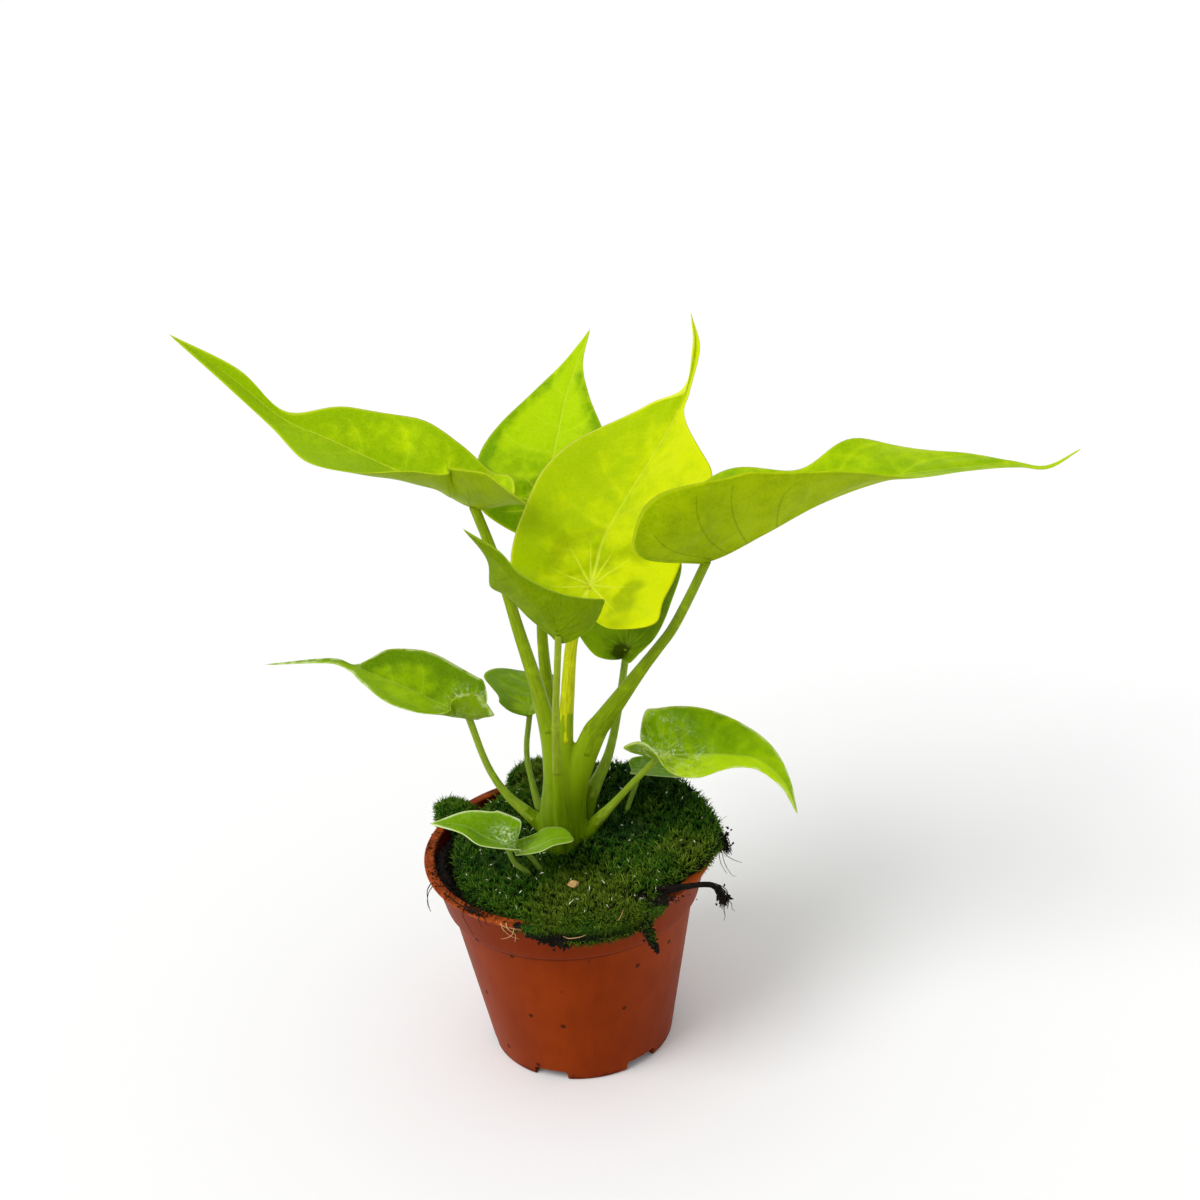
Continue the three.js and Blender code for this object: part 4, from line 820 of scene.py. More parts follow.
def addCrown():
    parts = [tube(crown["core"], 40, 28)[:2]]
    for name, share in sheathShare.items():
        parts.append(tube(partOfPath(leaves[name]["stalk"], 0, share * 1.04), 36, 24)[:2])
    rough = addMesh("crown_rough", *joined(parts), crownMaterial())
    remesh = rough.modifiers.new("fuse", "REMESH")
    remesh.mode = "VOXEL"
    remesh.voxel_size = crown["voxel"] * metre
    ease = rough.modifiers.new("ease", "SMOOTH")
    ease.factor = 0.5
    ease.iterations = 1
    piece = shaped(rough, "crown_sheaths")
    sides = piece.data.polygons
    sides.foreach_set("use_smooth", np.full(len(sides), True))
    placePiece(piece, "crown", "crown")


# Pot

pot = {
    "height": 67.8,
    "rimRadius": 45,
    "rimDepth": 1.5,
    "collarTopRadius": 42.9,
    "collarFootRadius": 39.6,
    "collarFootHeight": 52.3,
    "bodyTopRadius": 37.9,
    "baseRadius": 28.8,
    "wall": 1.365,
    "floorHeight": 1.6,
    "floorThickness": 1.4,
    "footRingWidth": 3.2,
    "footPadRadius": 8,
    "slots": 6,
    "slotWidth": 11,
    "slotHeight": 3.4,
    "slotTurn": -112,
    "slotEase": 0.9,
    "sides": 192,
    "tone": (138, 50, 2),
    "deepTone": (112, 34, 0),
    "lipHighlightTone": (170, 78, 30),
    "ledgeShadeTone": (70, 18, 0),
    "insideShadeTone": (84, 14, 6),
    "dirtTone": (40, 22, 14),
}


def potProfile():
    # Radius, height and rounding of each corner
    height, rim, inner = pot["height"], pot["rimRadius"], pot["wall"]
    ledge, body, base = pot["collarFootHeight"], pot["bodyTopRadius"], pot["baseRadius"]
    collarTop, collarFoot = pot["collarTopRadius"], pot["collarFootRadius"]
    pad, ring, low = pot["footPadRadius"], base - pot["footRingWidth"], pot["floorHeight"]
    under, floor = height - pot["rimDepth"], low + pot["floorThickness"]
    return [
        (0, 0, 0), (pad, 0, 0.3), (pad + 1, low, 0.3), (ring - 1, low, 0.3), (ring, 0, 0.4),
        (base - 0.3, 0, 0.9), (body, ledge, 0.5), (collarFoot, ledge + 0.5, 0.9),
        (collarTop, under, 0.3), (rim - 0.1, under + 0.1, 0.6), (rim, height - 0.1, 0.7),
        (collarTop - inner + 0.2, height, 0.6), (collarFoot - inner, ledge + 1.4, 0.8),
        (body - inner, ledge - 1.2, 0.8), (base - inner, floor, 0.8), (0, floor, 0),
    ]


def roundedProfile(corners, bends=5, longest=4):
    # Each corner becomes a short quadratic curve, and long straights get points along them
    line = []
    for k, (r, z, radius) in enumerate(corners):
        here = np.array([r, z], float)
        if radius == 0:
            line.append(here)
            continue
        first, last = [here + leg / np.linalg.norm(leg) * min(radius, 0.45 * np.linalg.norm(leg))
                       for leg in (np.array(corners[k + step][:2]) - here for step in (-1, 1))]
        for f in np.linspace(0, 1, bends):
            line.append((1 - f) ** 2 * first + 2 * f * (1 - f) * here + f ** 2 * last)
    full = [line[0]]
    for a, b in zip(line[:-1], line[1:]):
        steps = max(1, int(np.ceil(np.linalg.norm(b - a) / longest)))
        full += [a + (b - a) * f for f in np.linspace(0, 1, steps + 1)[1:]]
    return np.array(full)


def revolved(profile, sides):
    # The profile turned about the upright axis, closed at the axis
    r, z = profile.T[..., None]
    return ringMesh(vectors(*polar(r, around(sides)), z))


def slotCutters():
    # Boxes with eased upper corners, set round the foot
    half, top, ease = pot["slotWidth"] / 2, pot["slotHeight"], pot["slotEase"]
    small = 0.3 * ease
    side, z = np.array([
        (-half, -2), (half, -2), (half, top - ease), (half - small, top - small),
        (half - ease, top), (ease - half, top), (small - half, top - small), (-half, top - ease),
    ]).T
    n, outer = len(side), pot["baseRadius"] + 3
    r = np.array([[outer - pot["footRingWidth"] - 6], [outer]])
    ends = [(0, i + 1, i) for i in range(1, n - 1)]
    ends += [(n, n + i, n + i + 1) for i in range(1, n - 1)]
    triangles = np.concatenate([gridTriangles(ringNumbers(2, n)), ends])
    turns = np.radians(pot["slotTurn"] + 360 * np.arange(pot["slots"]) / pot["slots"])
    return joined([(vectors(r * np.cos(turn) - side * np.sin(turn),
                            r * np.sin(turn) + side * np.cos(turn), z).reshape(-1, 3), triangles)
                   for turn in turns])


def potMaterial():
    material, ink, place = newMaterial("terracotta plastic")
    x, y, z = ink.axes(place)
    height = z * 1000
    radius = ink.length(ink.node("CombineXYZ", None, {0: x * 1000, 1: y * 1000}))
    flat = ink.node("Mapping", None, {"Vector": place, "Scale": (1, 1, 0.25)})
    broad = ink.noise(place, 32)
    flow = ink.noise(flat, 220, 4, 0.6)
    grain = ink.noise(place, 2400, 2)
    top, lipFoot, ledgeTop = pot["height"], pot["height"] - pot["rimDepth"], pot["collarFootHeight"]
    floor = pot["floorHeight"] + pot["floorThickness"]
    collar = height.rise(ledgeTop + 0.3, ledgeTop + 1.1)
    collar = collar * (1 - height.rise(lipFoot - 1.3, lipFoot + 0.1))
    # Painted shade: a dark line just below the step at the collar's foot
    ledge = 1 - ((height - (ledgeTop - 0.4)).size() / 1.3).rise(0.3, 1)
    # Painted highlight: streaks of lighter orange along the lip
    lip = height.rise(lipFoot - 0.1, lipFoot + 0.6) * flow.rise(0.3, 0.6)
    # Painted shade: the inner wall, nearer the axis than the wall's middle, is deeper and redder
    slope = (pot["bodyTopRadius"] - pot["baseRadius"]) / ledgeTop
    wallMiddle = pot["baseRadius"] - 0.7 + slope * height
    wallMiddle = wallMiddle + height.rise(ledgeTop - 0.3, ledgeTop + 1.7) * 1.7
    wallMiddle = wallMiddle + (height - (ledgeTop + 0.7)).most(0) * 0.06
    inside = 1 - (radius - wallMiddle).rise(-0.35, 0.1)
    inside = inside * (1 - height.rise(top - 0.6, top - 0.1))
    inside = inside * height.rise(floor - 0.1, floor + 0.1)
    # Soil: a film below the lip, splashes at the foot, and small dark flecks
    film = ink.noise(place, 170, 5, 0.65) * 0.6 + height.rise(55, 67) * 0.4
    film = film.rise(0.66, 0.8) * height.rise(50, 60)
    foot = ink.noise(place, 300, 5, 0.7) * 0.6 + (1 - height.rise(0.4, 6)) * 0.4
    flecks = {"Vector": place, "Scale": 210, "Randomness": 1}
    spot = 1 - ink.node("TexVoronoi", None, flecks).rise(0.1, 0.24)
    chosen = ink.axes(ink.node("TexVoronoi", None, flecks, 1))[0].rise(0.8, 0.82)
    dirt = (film * 0.55).most(foot.rise(0.6, 0.78) * 0.6).most(spot * chosen * 0.85)
    colour = ink.paint(
        pot["tone"], (broad.rise(0.3, 0.7) * 0.6, pot["deepTone"]),
        (flow.rise(0.45, 0.75) * 0.35, pot["deepTone"]), (collar * 0.5, pot["deepTone"]),
        (ledge * 0.5, pot["ledgeShadeTone"]), (lip * 0.8, pot["lipHighlightTone"]),
        (inside, pot["insideShadeTone"]), (dirt, pot["dirtTone"]))
    surface(ink, colour, 0.4 + 0.16 * flow + 0.3 * dirt, 0.07, (1, 0.5, 0.2),
            (0.06, (1, 0.3, 0.08), 1.5), flow * 0.35 + grain * 0.25 + broad * 0.5 + dirt * 0.5,
            0.16)
    return material


def addPot():
    material = potMaterial()
    body = addMesh("pot_rough", *revolved(roundedProfile(potProfile()), pot["sides"]), material)
    cutter = addMesh("slots", *slotCutters(), material, smooth=False)
    cut = body.modifiers.new("slots", "BOOLEAN")
    cut.operation = "DIFFERENCE"
    cut.solver = "EXACT"
    cut.object = cutter
    piece = shaped(body, "pot_shell")
    bpy.data.objects.remove(cutter)
    piece.data.set_sharp_from_angle(angle=np.radians(38))
    placePiece(piece, "pot", "pot")


# Soil

soil = {
    "top": 61,
    "sag": 2.2,
    "bank": 4.8,
    "crumbs": 900,
    # Crumbs in places: the turn in degrees and its spread, how many, and the radii they lie
    # between. The chip's are the first of the lip's.
    "bankCrumbs": (190, 26, 1100, 36.5, 40.6),
    "lipCrumbs": (200, 24, 520, 41.4, 44.8),
    "chipCrumbs": (229, 3.5, 140, 42.5, 45.2),
    "sides": 160,
    "tone": (23, 18, 14),
    "paleTone": (62, 49, 38),
    "darkTone": (14, 10, 8),
}


def soilHeight(x, y):
    # Level with a soft hollow, and banked up against the wall at the left
    hollow = np.exp(-((x + 26) ** 2 + (y + 12) ** 2) / 300)
    turned = np.abs((np.degrees(np.arctan2(y, x)) - soil["bankCrumbs"][0] + 180) % 360 - 180)
    bank = np.clip((np.hypot(x, y) - 35.6) / 3.4, 0, 1) * np.exp(-(turned / 34) ** 2)
    level = soil["top"] - soil["sag"] * hollow * (1 - bank) + soil["bank"] * bank
    return level + 0.5 * np.sin(x * 0.31 + 1) * np.cos(y * 0.27)


def insideRadius(z):
    # Straight between the corners of the pot's inner wall, less a small gap
    low, ledge = pot["floorHeight"] + pot["floorThickness"], pot["collarFootHeight"]
    heights = [low, ledge - 1.2, ledge + 1.4, pot["height"]]
    radii = [pot[f"{place}Radius"] for place in ("base", "bodyTop", "collarFoot", "collarTop")]
    return np.interp(z, heights, radii) - pot["wall"] - 0.15


def lumps(x, y, z=0.0):
    # Small uneven relief, -1 to 1: products of sines at three sizes
    return (0.5 * np.sin(1.9 * x + 0.7 * y) * np.sin(2.1 * y - 0.4 * x + z)
            + 0.3 * np.sin(3.7 * x - 1.1 * y + 1.3 + z) * np.sin(3.3 * y + 0.9 * x)
            + 0.2 * np.sin(6.1 * x + 2.3 * y + z) * np.sin(5.7 * y - 1.9 * x + 2.0))


def soilMaterial():
    material, ink, place = newMaterial("peat soil")
    grain = ink.noise(place, 900, 5, 0.7)
    clod = ink.noise(place, 260, 4, 0.6)
    colour = ink.paint(soil["tone"], (grain.rise(0.5, 0.72), soil["paleTone"]),
                       (clod.rise(0.45, 0.7) * 0.6, soil["darkTone"]))
    surface(ink, colour, 0.88, 0.12, relief=grain * 0.7 + clod * 0.5, depth=0.7)
    return material


def grains(centres, sizes, rng):
    # Each grain is an eight-sided lump: six corners at uneven distances from its centre
    corner = np.concatenate([np.eye(3)[:2], -np.eye(3)[:2], [[0, 0, 1], [0, 0, -1]]])
    face = np.array([[0, 1, 4], [1, 2, 4], [2, 3, 4], [3, 0, 4],
                     [1, 0, 5], [2, 1, 5], [3, 2, 5], [0, 3, 5]])
    count = len(centres)
    turned = np.linalg.qr(rng.normal(size=(count, 3, 3)))[0]
    turned[:, :, 0] *= np.sign(np.linalg.det(turned))[:, None]
    reach = rng.uniform(0.65, 1.2, (count, 6, 1)) * corner * sizes[:, None, :]
    points = centres[:, None] + np.einsum("nij,nkj->nki", turned, reach)
    triangles = face[None] + 6 * np.arange(count)[:, None, None]
    return points.reshape(-1, 3), triangles.reshape(-1, 3)


def grainSizes(low, high, count, rng, power=1, uneven=0.6):
    # Half widths, from low ** power to high ** power, uneven in the three directions
    return rng.uniform(low, high, (count, 1)) ** power * rng.uniform(uneven, 1.3, (count, 3))


def scattered(place, rng, power=1):
    # Turns and radii of the crumbs in a place, more of them near the axis for a higher power
    turn, spread, count, near, far = soil[place]
    turns = np.radians(rng.normal(turn, spread, count))
    return turns, near + (far - near) * rng.uniform(0, 1, count) ** power


def addSoil():
    material, angle = soilMaterial(), around(soil["sides"])
    low, top = pot["floorHeight"] + pot["floorThickness"] + 0.3, soil["top"] - 2
    z = np.concatenate([[low], np.linspace(low, top, 14)])[:, None]
    r = insideRadius(z)
    r[0] = 0
    share = np.linspace(1, 0, 60)[1:, None]
    x, y = polar(insideRadius(top) * share, angle)
    uneven = (0.5 * lumps(x, y) + 0.3 * lumps(2.3 * x, 2.1 * y)) * np.minimum(1, 8 * (1 - share))
    rings = [vectors(*polar(r, angle), z), vectors(x, y, soilHeight(x, y) + uneven)]
    addPiece("soil_fill", "soil", ["soil"], ringMesh(np.concatenate(rings)), material)
    rng = np.random.default_rng(11)
    count = soil["crumbs"]
    turn = rng.uniform(0, 2 * np.pi, count)
    x, y = polar(insideRadius(60) * np.sqrt(rng.uniform(0.25, 0.985, count)) - 0.6, turn)
    size = grainSizes(0.35, 1.15, count, rng, 1.5, 0.7)
    centres = vectors(x, y, soilHeight(x, y) + 0.35 * size[:, 0])
    # More of them on the bank, against the wall, and a few left on the lip
    turn, r = scattered("bankCrumbs", rng)
    more = grainSizes(0.4, 1.2, len(r), rng, 1.5, 0.7)
    level = soilHeight(*polar(r, turn)) + rng.uniform(-0.2, 1, len(r))
    bank = vectors(*polar(np.minimum(r, insideRadius(level) - 0.4 * more[:, 0]), turn), level)
    turn, r = scattered("lipCrumbs", rng, 3)
    specks = rng.uniform(0.1, 0.42, (len(r), 3))
    chip = soil["chipCrumbs"][2]
    turn[:chip], r[:chip] = scattered("chipCrumbs", rng)
    lip = vectors(*polar(r, turn), pot["height"] + 0.5 * specks[:, 2])
    crumbs = grains(np.concatenate([centres, bank, lip]), np.concatenate([size, more, specks]), rng)
    addPiece("soil_crumbs", "soil", [], crumbs, material, smooth=False)


# Moss: cushions covered with fine upright shoots

moss = {
    "shootLength": 2.7,
    "shootRadius": 0.148,
    "longShare": 0.03,
    "mostShoots": 18000,     # in one piece
    "sink": 1.5,
    "inset": 1.0,
    "front": -46.0,
    "frontDepth": 1.55,
    "deepTone": (10, 22, 6),
    "tone": (42, 94, 12),
    "blueTone": (26, 70, 26),
    "oliveTone": (84, 110, 18),
    "tipTone": (164, 188, 66),
    "earthTone": (16, 11, 8),
    # Spots of a hue: x, y and radius
    "oliveSpots": [(5, -27, 13), (36, -10, 8), (38, -22, 7), (-5, -38, 7), (12, -37, 10),
                   (26, 10, 5), (-6, 34, 8)],
    "blueSpots": [(24, 20, 16), (-20, -6, 8), (18, 2, 8)],
    # Bare places: x, y and half widths
    "hollow": (21.5, -35.5, 8, 3.8),
    "bareSide": (-38.5, -4, 5.5, 20),
    # Where moss hangs over the lip: the turns it starts and ends at, and how far down
    "overhang": (0.686, 0.845),
    "overhangDrop": 3.8,
    "crownAt": (-2.6, 1),
}

# Soil that shows in the moss: the number of grains of each patch, the path of the tag of turf that
# hangs over the lip, and the turns of the main cushion's bare left side
mossSoil = {
    "lip": 1500, "hollow": 500, "tag": 260, "clod": 420, "left": 700,
    "tagPath": [[20.5, -43, 67], [22.5, -45.4, 62.5], [24.3, -45.8, 57.8]],
    "leftTurns": (0.43, 0.6),
}

# Radii and edge heights are spread evenly round each cushion. Grid is its rings and sides, hang
# how far down its side moss grows, clear the bare radius round the crown.
mossCushions = {
    "main": {
        "centre": (3, -2), "floor": 59, "roundness": 24, "relief": 1, "grid": (56, 210),
        "radii": [44.5, 44, 43, 42, 40, 38, 39, 41, 40, 39.5, 40.5, 43, 45.5, 45.5, 38.5, 41.5],
        "edges": [69, 70, 71, 71, 69, 66, 61, 60, 60, 60, 61, 66, 64.5, 66.5, 66, 69],
        "shoots": 31000, "fringe": 11000, "hang": 3.2, "clear": 7.2, "hangingSoil": 1800,
    },
    "left": {
        "centre": (-36, 22), "floor": 64, "roundness": 5, "relief": 0.6, "grid": (20, 60),
        "radii": [7, 6, 6.5, 7.5, 6.5, 6, 7, 7], "edges": [66, 67, 68, 69, 69, 69, 67, 66],
        "shoots": 1500, "fringe": 1400, "hang": 4, "clear": 0, "hangingSoil": 260,
    },
    "back": {
        "centre": (-11, 38), "floor": 62, "roundness": 5, "relief": 0.7, "grid": (20, 60),
        "radii": [8, 8.5, 7.5, 7.5, 8.5, 9, 7, 7], "edges": [69, 70, 70, 69, 68, 66, 64, 66],
        "shoots": 2200, "fringe": 2000, "hang": 6, "clear": 0, "hangingSoil": 380,
    },
}


def inSpot(spot, x, y, power):
    # 1 in the middle of a spot and near 0 outside: exp(-(x / width) ** power - ...)
    left, front, wide, deep = spot
    return np.exp(-((x - left) / wide) ** power - ((y - front) / deep) ** power)


def mossCrest(name, x, y):
    # Height of a cushion's middle. The main one rises to the back, with slow waves, less a round
    # hollow at the crown and the bare one at the front.
    if name == "left":
        return 72.5 + 0 * x
    if name == "back":
        return 76 + 0.12 * x
    hollow = 3 * np.exp(-((x - 2) ** 2 + (y + 12) ** 2) / 90)
    hollow = hollow + 1.8 * inSpot(moss["hollow"], x, y, 2)
    level = 71 + 0.05 * x + 0.08 * y + 0.002 * y ** 2
    return level + 1.1 * np.sin(0.13 * x + 0.5) * np.cos(0.15 * y) - hollow


def tuftRelief(x, y):
    # Small mounds of two sizes, each a product of sines
    return (0.6 * np.sin(1.15 * x + 0.4 * y) * np.sin(1.05 * y - 0.3 * x + 1)
            + 0.35 * np.sin(2.1 * x + 1.3) * np.sin(1.9 * y + 0.5))


def mossTop(name, share, turns):
    # The cushion's upper side: a dome from the ring's edge height up to the crest, by share of the
    # radius and turns round it, with the shoots' clumps as relief
    cushion = mossCushions[name]
    r = (aroundRing(cushion["radii"], turns) - moss["inset"]) * share
    x, y = polar(r, 2 * np.pi * turns)
    x, y = cushion["centre"][0] + x, cushion["centre"][1] + y
    edge = aroundRing(cushion["edges"], turns)
    dome = np.sqrt(np.maximum(0, 1 - share ** cushion["roundness"]))
    z = edge + (mossCrest(name, x, y) - edge) * dome + cushion["relief"] * dome * tuftRelief(x, y)
    return vectors(x, y, z - moss["sink"] * dome)


def mossBottom(name, share, turns):
    # The same ring lowered to the cushion's floor, up to its edge with the share's eighth power
    points, floor = mossTop(name, share, turns), mossCushions[name]["floor"]
    edge = aroundRing(mossCushions[name]["edges"], turns)
    points[..., 2] = np.minimum(edge, floor + (edge - floor) * share ** 8) - 0.8
    return points


def mossHue(x, y):
    # From 0 for the blue green to 1 for the olive, by soft spots
    olive, blue = [sum(np.exp(-((x - a) ** 2 + (y - b) ** 2) / r ** 2) for a, b, r in moss[kind])
                   for kind in ("oliveSpots", "blueSpots")]
    return np.clip(0.5 + 0.5 * olive - 0.45 * blue + 0.12 * lumps(0.3 * x, 0.3 * y), 0, 1)


def keptBack(points):
    # Points in front of the plane y = front are drawn in, so none stands out of the part's box:
    # y = front - d (1 - exp(-(front - y) / d))
    front, depth = moss["front"], moss["frontDepth"]
    beyond = np.maximum(0, front - points[..., 1])
    points[..., 1] = np.maximum(points[..., 1], front) - depth * (1 - np.exp(-beyond / depth))
    return points


def spikes(foot, way, over, length, radius, paintedLight, rng):
    # Thin three-sided shoots: a ring at the foot, one half way up, and a point that leans over.
    # How light each one is made is painted light and shade.
    count = len(foot)
    side = unit(np.cross(way, rng.normal(size=(count, 3))))
    x, y = polar(1, around(3)[:, None])
    ring = side[:, None] * x + np.cross(way, side)[:, None] * y
    low = foot[:, None] - 0.4 * way[:, None] + ring * radius[:, None, None]
    bend = foot + way * (0.55 * length)[:, None]
    mid = bend[:, None] + ring * (0.85 * radius)[:, None, None]
    tip = (bend + over * (0.5 * length)[:, None])[:, None]
    points = keptBack(np.concatenate([low, mid, tip], 1))
    face = np.array([[0, 1, 4], [0, 4, 3], [1, 2, 5], [1, 5, 4], [2, 0, 3], [2, 3, 5],
                     [3, 4, 6], [4, 5, 6], [5, 3, 6], [2, 1, 0]])
    triangles = face[None] + 7 * np.arange(count)[:, None, None]
    rise = np.array([0, 0, 0, 0.6, 0.6, 0.6, 1.0])
    hue = mossHue(foot[:, 0], foot[:, 1])[:, None]
    shade = vectors(rise * paintedLight[:, None], rng.uniform(0, 1, (count, 1)), hue)
    return points.reshape(-1, 3), triangles.reshape(-1, 3), shade.reshape(-1, 3)


def shootsOn(name, rng):
    # Spread over the cushion by area, along its normal with a random lean
    cushion = mossCushions[name]
    count = cushion["shoots"]
    share = np.sqrt(rng.uniform(0, 1, count)) * 0.999
    turns = rng.uniform(0, 1, count)
    foot = mossTop(name, share, turns)
    towards = mossTop(name, share * 0.99, turns) - foot
    normal = unit(np.cross(mossTop(name, share, turns + 0.002) - foot, towards))
    x, y = foot[:, 0], foot[:, 1]
    bare = inSpot(moss["hollow"], x, y, 4) + 0.9 * inSpot(moss["bareSide"], x, y, 4)
    middle = moss["crownAt"]
    keep = np.hypot(x - middle[0], y - middle[1]) > cushion["clear"]
    keep &= bare * (name == "main") < rng.uniform(0.1, 1.2, count)
    foot, normal, x, y = foot[keep], normal[keep], x[keep], y[keep]
    count = len(foot)
    clump = 0.5 + 0.5 * lumps(0.62 * x, 0.62 * y)
    mound = 0.5 + 0.5 * lumps(0.2 * x + 1, 0.2 * y)
    length = moss["shootLength"] * rng.uniform(0.45, 1.2, count)
    length = length * (0.3 + 0.75 * clump + 0.4 * mound)
    tall = rng.uniform(0, 1, count) < moss["longShare"]
    length = np.where(tall, 1.6 * length, length)
    # Painted light and shade: lighter on clumps and mounds, darker between them; tall ones lighter
    paintedLight = 0.3 + 0.6 * clump + 0.45 * mound + 0.5 * tall
    lean = rng.normal(0, 0.5, (count, 3)) + 0.3 * vectors(np.sin(1.1 * x), np.cos(1.2 * y), 0)
    way = unit(normal + np.array([0, 0, 0.35]) + lean * 0.6)
    over = unit(way + 0.5 * lean + np.array([0, 0, -0.12]))
    radius = moss["shootRadius"] * rng.uniform(0.7, 1.4, count)
    return spikes(foot, way, over, length, radius, paintedLight, rng)


def fringeFeet(name, turns, p):
    # Feet on the cushion's side, p of the way from its edge down by its hang: the share of the
    # radius where mossBottom has that height
    cushion = mossCushions[name]
    edge, floor = aroundRing(cushion["edges"], turns), cushion["floor"]
    share = np.clip((edge - p * cushion["hang"] + 0.8 - floor) / (edge - floor), 0.001, 1) ** 0.125
    foot = mossBottom(name, np.minimum(share, 0.995), turns)
    return foot, unit((foot - [*cushion["centre"], 0]) * [1, 1, 0])


def overLip(turns, p):
    # Feet on the way from the main cushion's edge out to the lip and down its front, by p of the
    # way
    start, end = moss["overhang"]
    inside = np.clip((turns - start) / (end - start), 0, 1)
    uneven = 0.75 + 0.25 * np.sin(140 * turns) * np.sin(61 * turns)
    hang = moss["overhangDrop"] * np.sin(np.pi * inside) ** 0.6 * uneven
    foot = mossTop("main", 0.985, turns)
    outward = unit(foot * [1, 1, 0])
    out = np.maximum(0, pot["rimRadius"] + 0.3 - np.linalg.norm(foot[:, :2], axis=-1))
    way = p * (out + hang)
    drop = np.maximum(0, way - out)
    level = pot["height"] + 0.3 - foot[:, 2]
    foot = foot + outward * np.minimum(way, out)[:, None]
    foot[:, 2] += level * np.clip(way / np.maximum(out, 0.1), 0, 1) - drop
    return foot, outward, drop


def fringeShoots(name, rng):
    # Shoots on the cushion's steep side, with painted shade darker towards its foot. At the front
    # of the main cushion they pass over the lip and hang in front of it.
    cushion = mossCushions[name]
    count = cushion["fringe"]
    turns, p = rng.uniform(0, 1, count), rng.uniform(-0.4, 1, count)
    down = np.maximum(p, 0)
    foot, outward = fringeFeet(name, turns, down)
    drop = cushion["hang"] * down
    if name == "main":
        start, end = moss["overhang"]
        front = rng.uniform(0, 1, count) < 0.5
        turns = np.where(front, start + (end - start) * turns, turns)
        lipFoot, lipOutward, lipDrop = overLip(turns, down)
        foot = np.where(front[:, None], lipFoot, foot)
        outward = np.where(front[:, None], lipOutward, outward)
        drop = np.where(front, 1.7 * lipDrop, drop)
    top = mossTop(name, rng.uniform(0.9, 0.99, count), turns)
    foot = np.where((p < 0)[:, None], top, foot)
    rise = np.array([0, 0, 1]) * (0.5 - 0.3 * drop[:, None])
    way = unit(outward + rng.normal(0, 0.45, (count, 3)) + rise)
    over = unit(way + rng.normal(0, 0.4, (count, 3)) - [0, 0, 0.35])
    length = rng.uniform(1.0, 2.5, count)
    # Painted shade: the further down they hang, the darker
    paintedLight = np.maximum(0.2, rng.uniform(0.7, 1.1, count) - 0.2 * drop)
    radius = moss["shootRadius"] * rng.uniform(0.7, 1.3, count)
    return spikes(foot, way, over, length, radius, paintedLight, rng)


def mossMaterial():
    material, ink, place = newMaterial("moss")
    rise, chance, hue = ink.attribute("mossMap")
    patch = ink.noise(place, 110)
    fine = ink.noise(place, 500)
    hue = hue + (patch - 0.5) * 0.7 + (chance - 0.5) * 0.2
    body = ink.paint(moss["blueTone"], (hue.rise(0.1, 0.5), moss["tone"]),
                     (hue.rise(0.5, 0.95), moss["oliveTone"]))
    pale = (chance * 0.6 + fine * 0.4).rise(0.4, 0.85) * hue.rise(0.1, 0.8)
    # Painted light and shade: shoots made darker stay nearer the deep tone all the way up
    colour = ink.paint(moss["deepTone"], (rise.rise(0.1, 0.7), body),
                       (rise.rise(0.5, 1) * (0.14 + 0.6 * pale), moss["tipTone"]))
    colour = ink.mix(rise.rise(-0.9, -0.1), moss["earthTone"], colour)
    surface(ink, colour, 0.75, 0.08, soft=(0.15, (0.6, 1, 0.2), 0.8), relief=fine, depth=0.2)
    return material


def addShoots(name, points, triangles, shade, material):
    addPiece(name, "moss", [], (points, triangles), material, {"mossMap": shade})


def addHangingSoil(rng):
    # Soil under the fringe, in the hollow, on the tag, in a clod on the lip and on the bare side
    start, end = moss["overhang"]
    count = mossSoil["lip"]
    turns = rng.uniform(start - 0.01, end + 0.01, count)
    under = overLip(turns, rng.uniform(0.3, 1.25, count))[0]
    edges = []
    for name, cushion in mossCushions.items():
        count = cushion["hangingSoil"]
        edge = mossTop(name, 0.985, rng.uniform(0, 1, count))
        edges.append(edge - [0, 0, 1] * rng.uniform(0.4, 2.4, count)[:, None])
    middle, front, wide, deep = moss["hollow"]
    count = mossSoil["hollow"]
    x, y = rng.normal(middle, 0.55 * wide, count), rng.normal(front, 0.5 * deep, count)
    z = mossCrest("main", x, y) - moss["sink"] + rng.uniform(-0.2, 0.5, count)
    along = rng.uniform(0, 1, mossSoil["tag"])
    tag = through(mossSoil["tagPath"], 2 * along)
    tag = tag + rng.normal(0, 0.85, tag.shape) * (1.35 - along)[:, None]
    at = rng.uniform(0, 1, mossSoil["clod"])
    clod = vectors(-13 + 11 * at, -42.8 - 3.6 * at ** 0.7, 66.4 - 2.6 * at)
    clod = clod + rng.normal(0, 1, clod.shape) * [0.9, 0.35, 1.1] * (0.5 + at)[:, None]
    count = mossSoil["left"]
    turns = rng.uniform(*mossSoil["leftTurns"], count)
    left = mossTop("main", rng.uniform(0.84, 1, count), turns) + [0, 0, 0.2]
    centres = np.concatenate([under, vectors(x, y, z), tag, clod, left, *edges])
    centres[:, 1] = np.maximum(centres[:, 1], moss["front"] - 0.4)
    lumpsOfSoil = grains(centres, grainSizes(0.25, 0.8, len(centres), rng), rng)
    addPiece("moss_soil", "soil", [], lumpsOfSoil, soilMaterial(), smooth=False)
    # The tag's own shoots, with painted shade darker further down the tag
    upper = along < 0.62
    foot, count = tag[upper], upper.sum()
    outward = unit(foot * [1, 1, 0]) + [0, 0, 0.3]
    way = unit(outward + rng.normal(0, 0.5, foot.shape))
    over = unit(way + rng.normal(0, 0.4, foot.shape) - [0, 0, 0.3])
    shoots = spikes(foot + 0.5 * outward, way, over, rng.uniform(0.9, 1.8, count),
                    np.full(count, 0.15), 0.8 - 0.5 * along[upper], rng)
    addShoots("moss_tag", *shoots, mossMaterial())


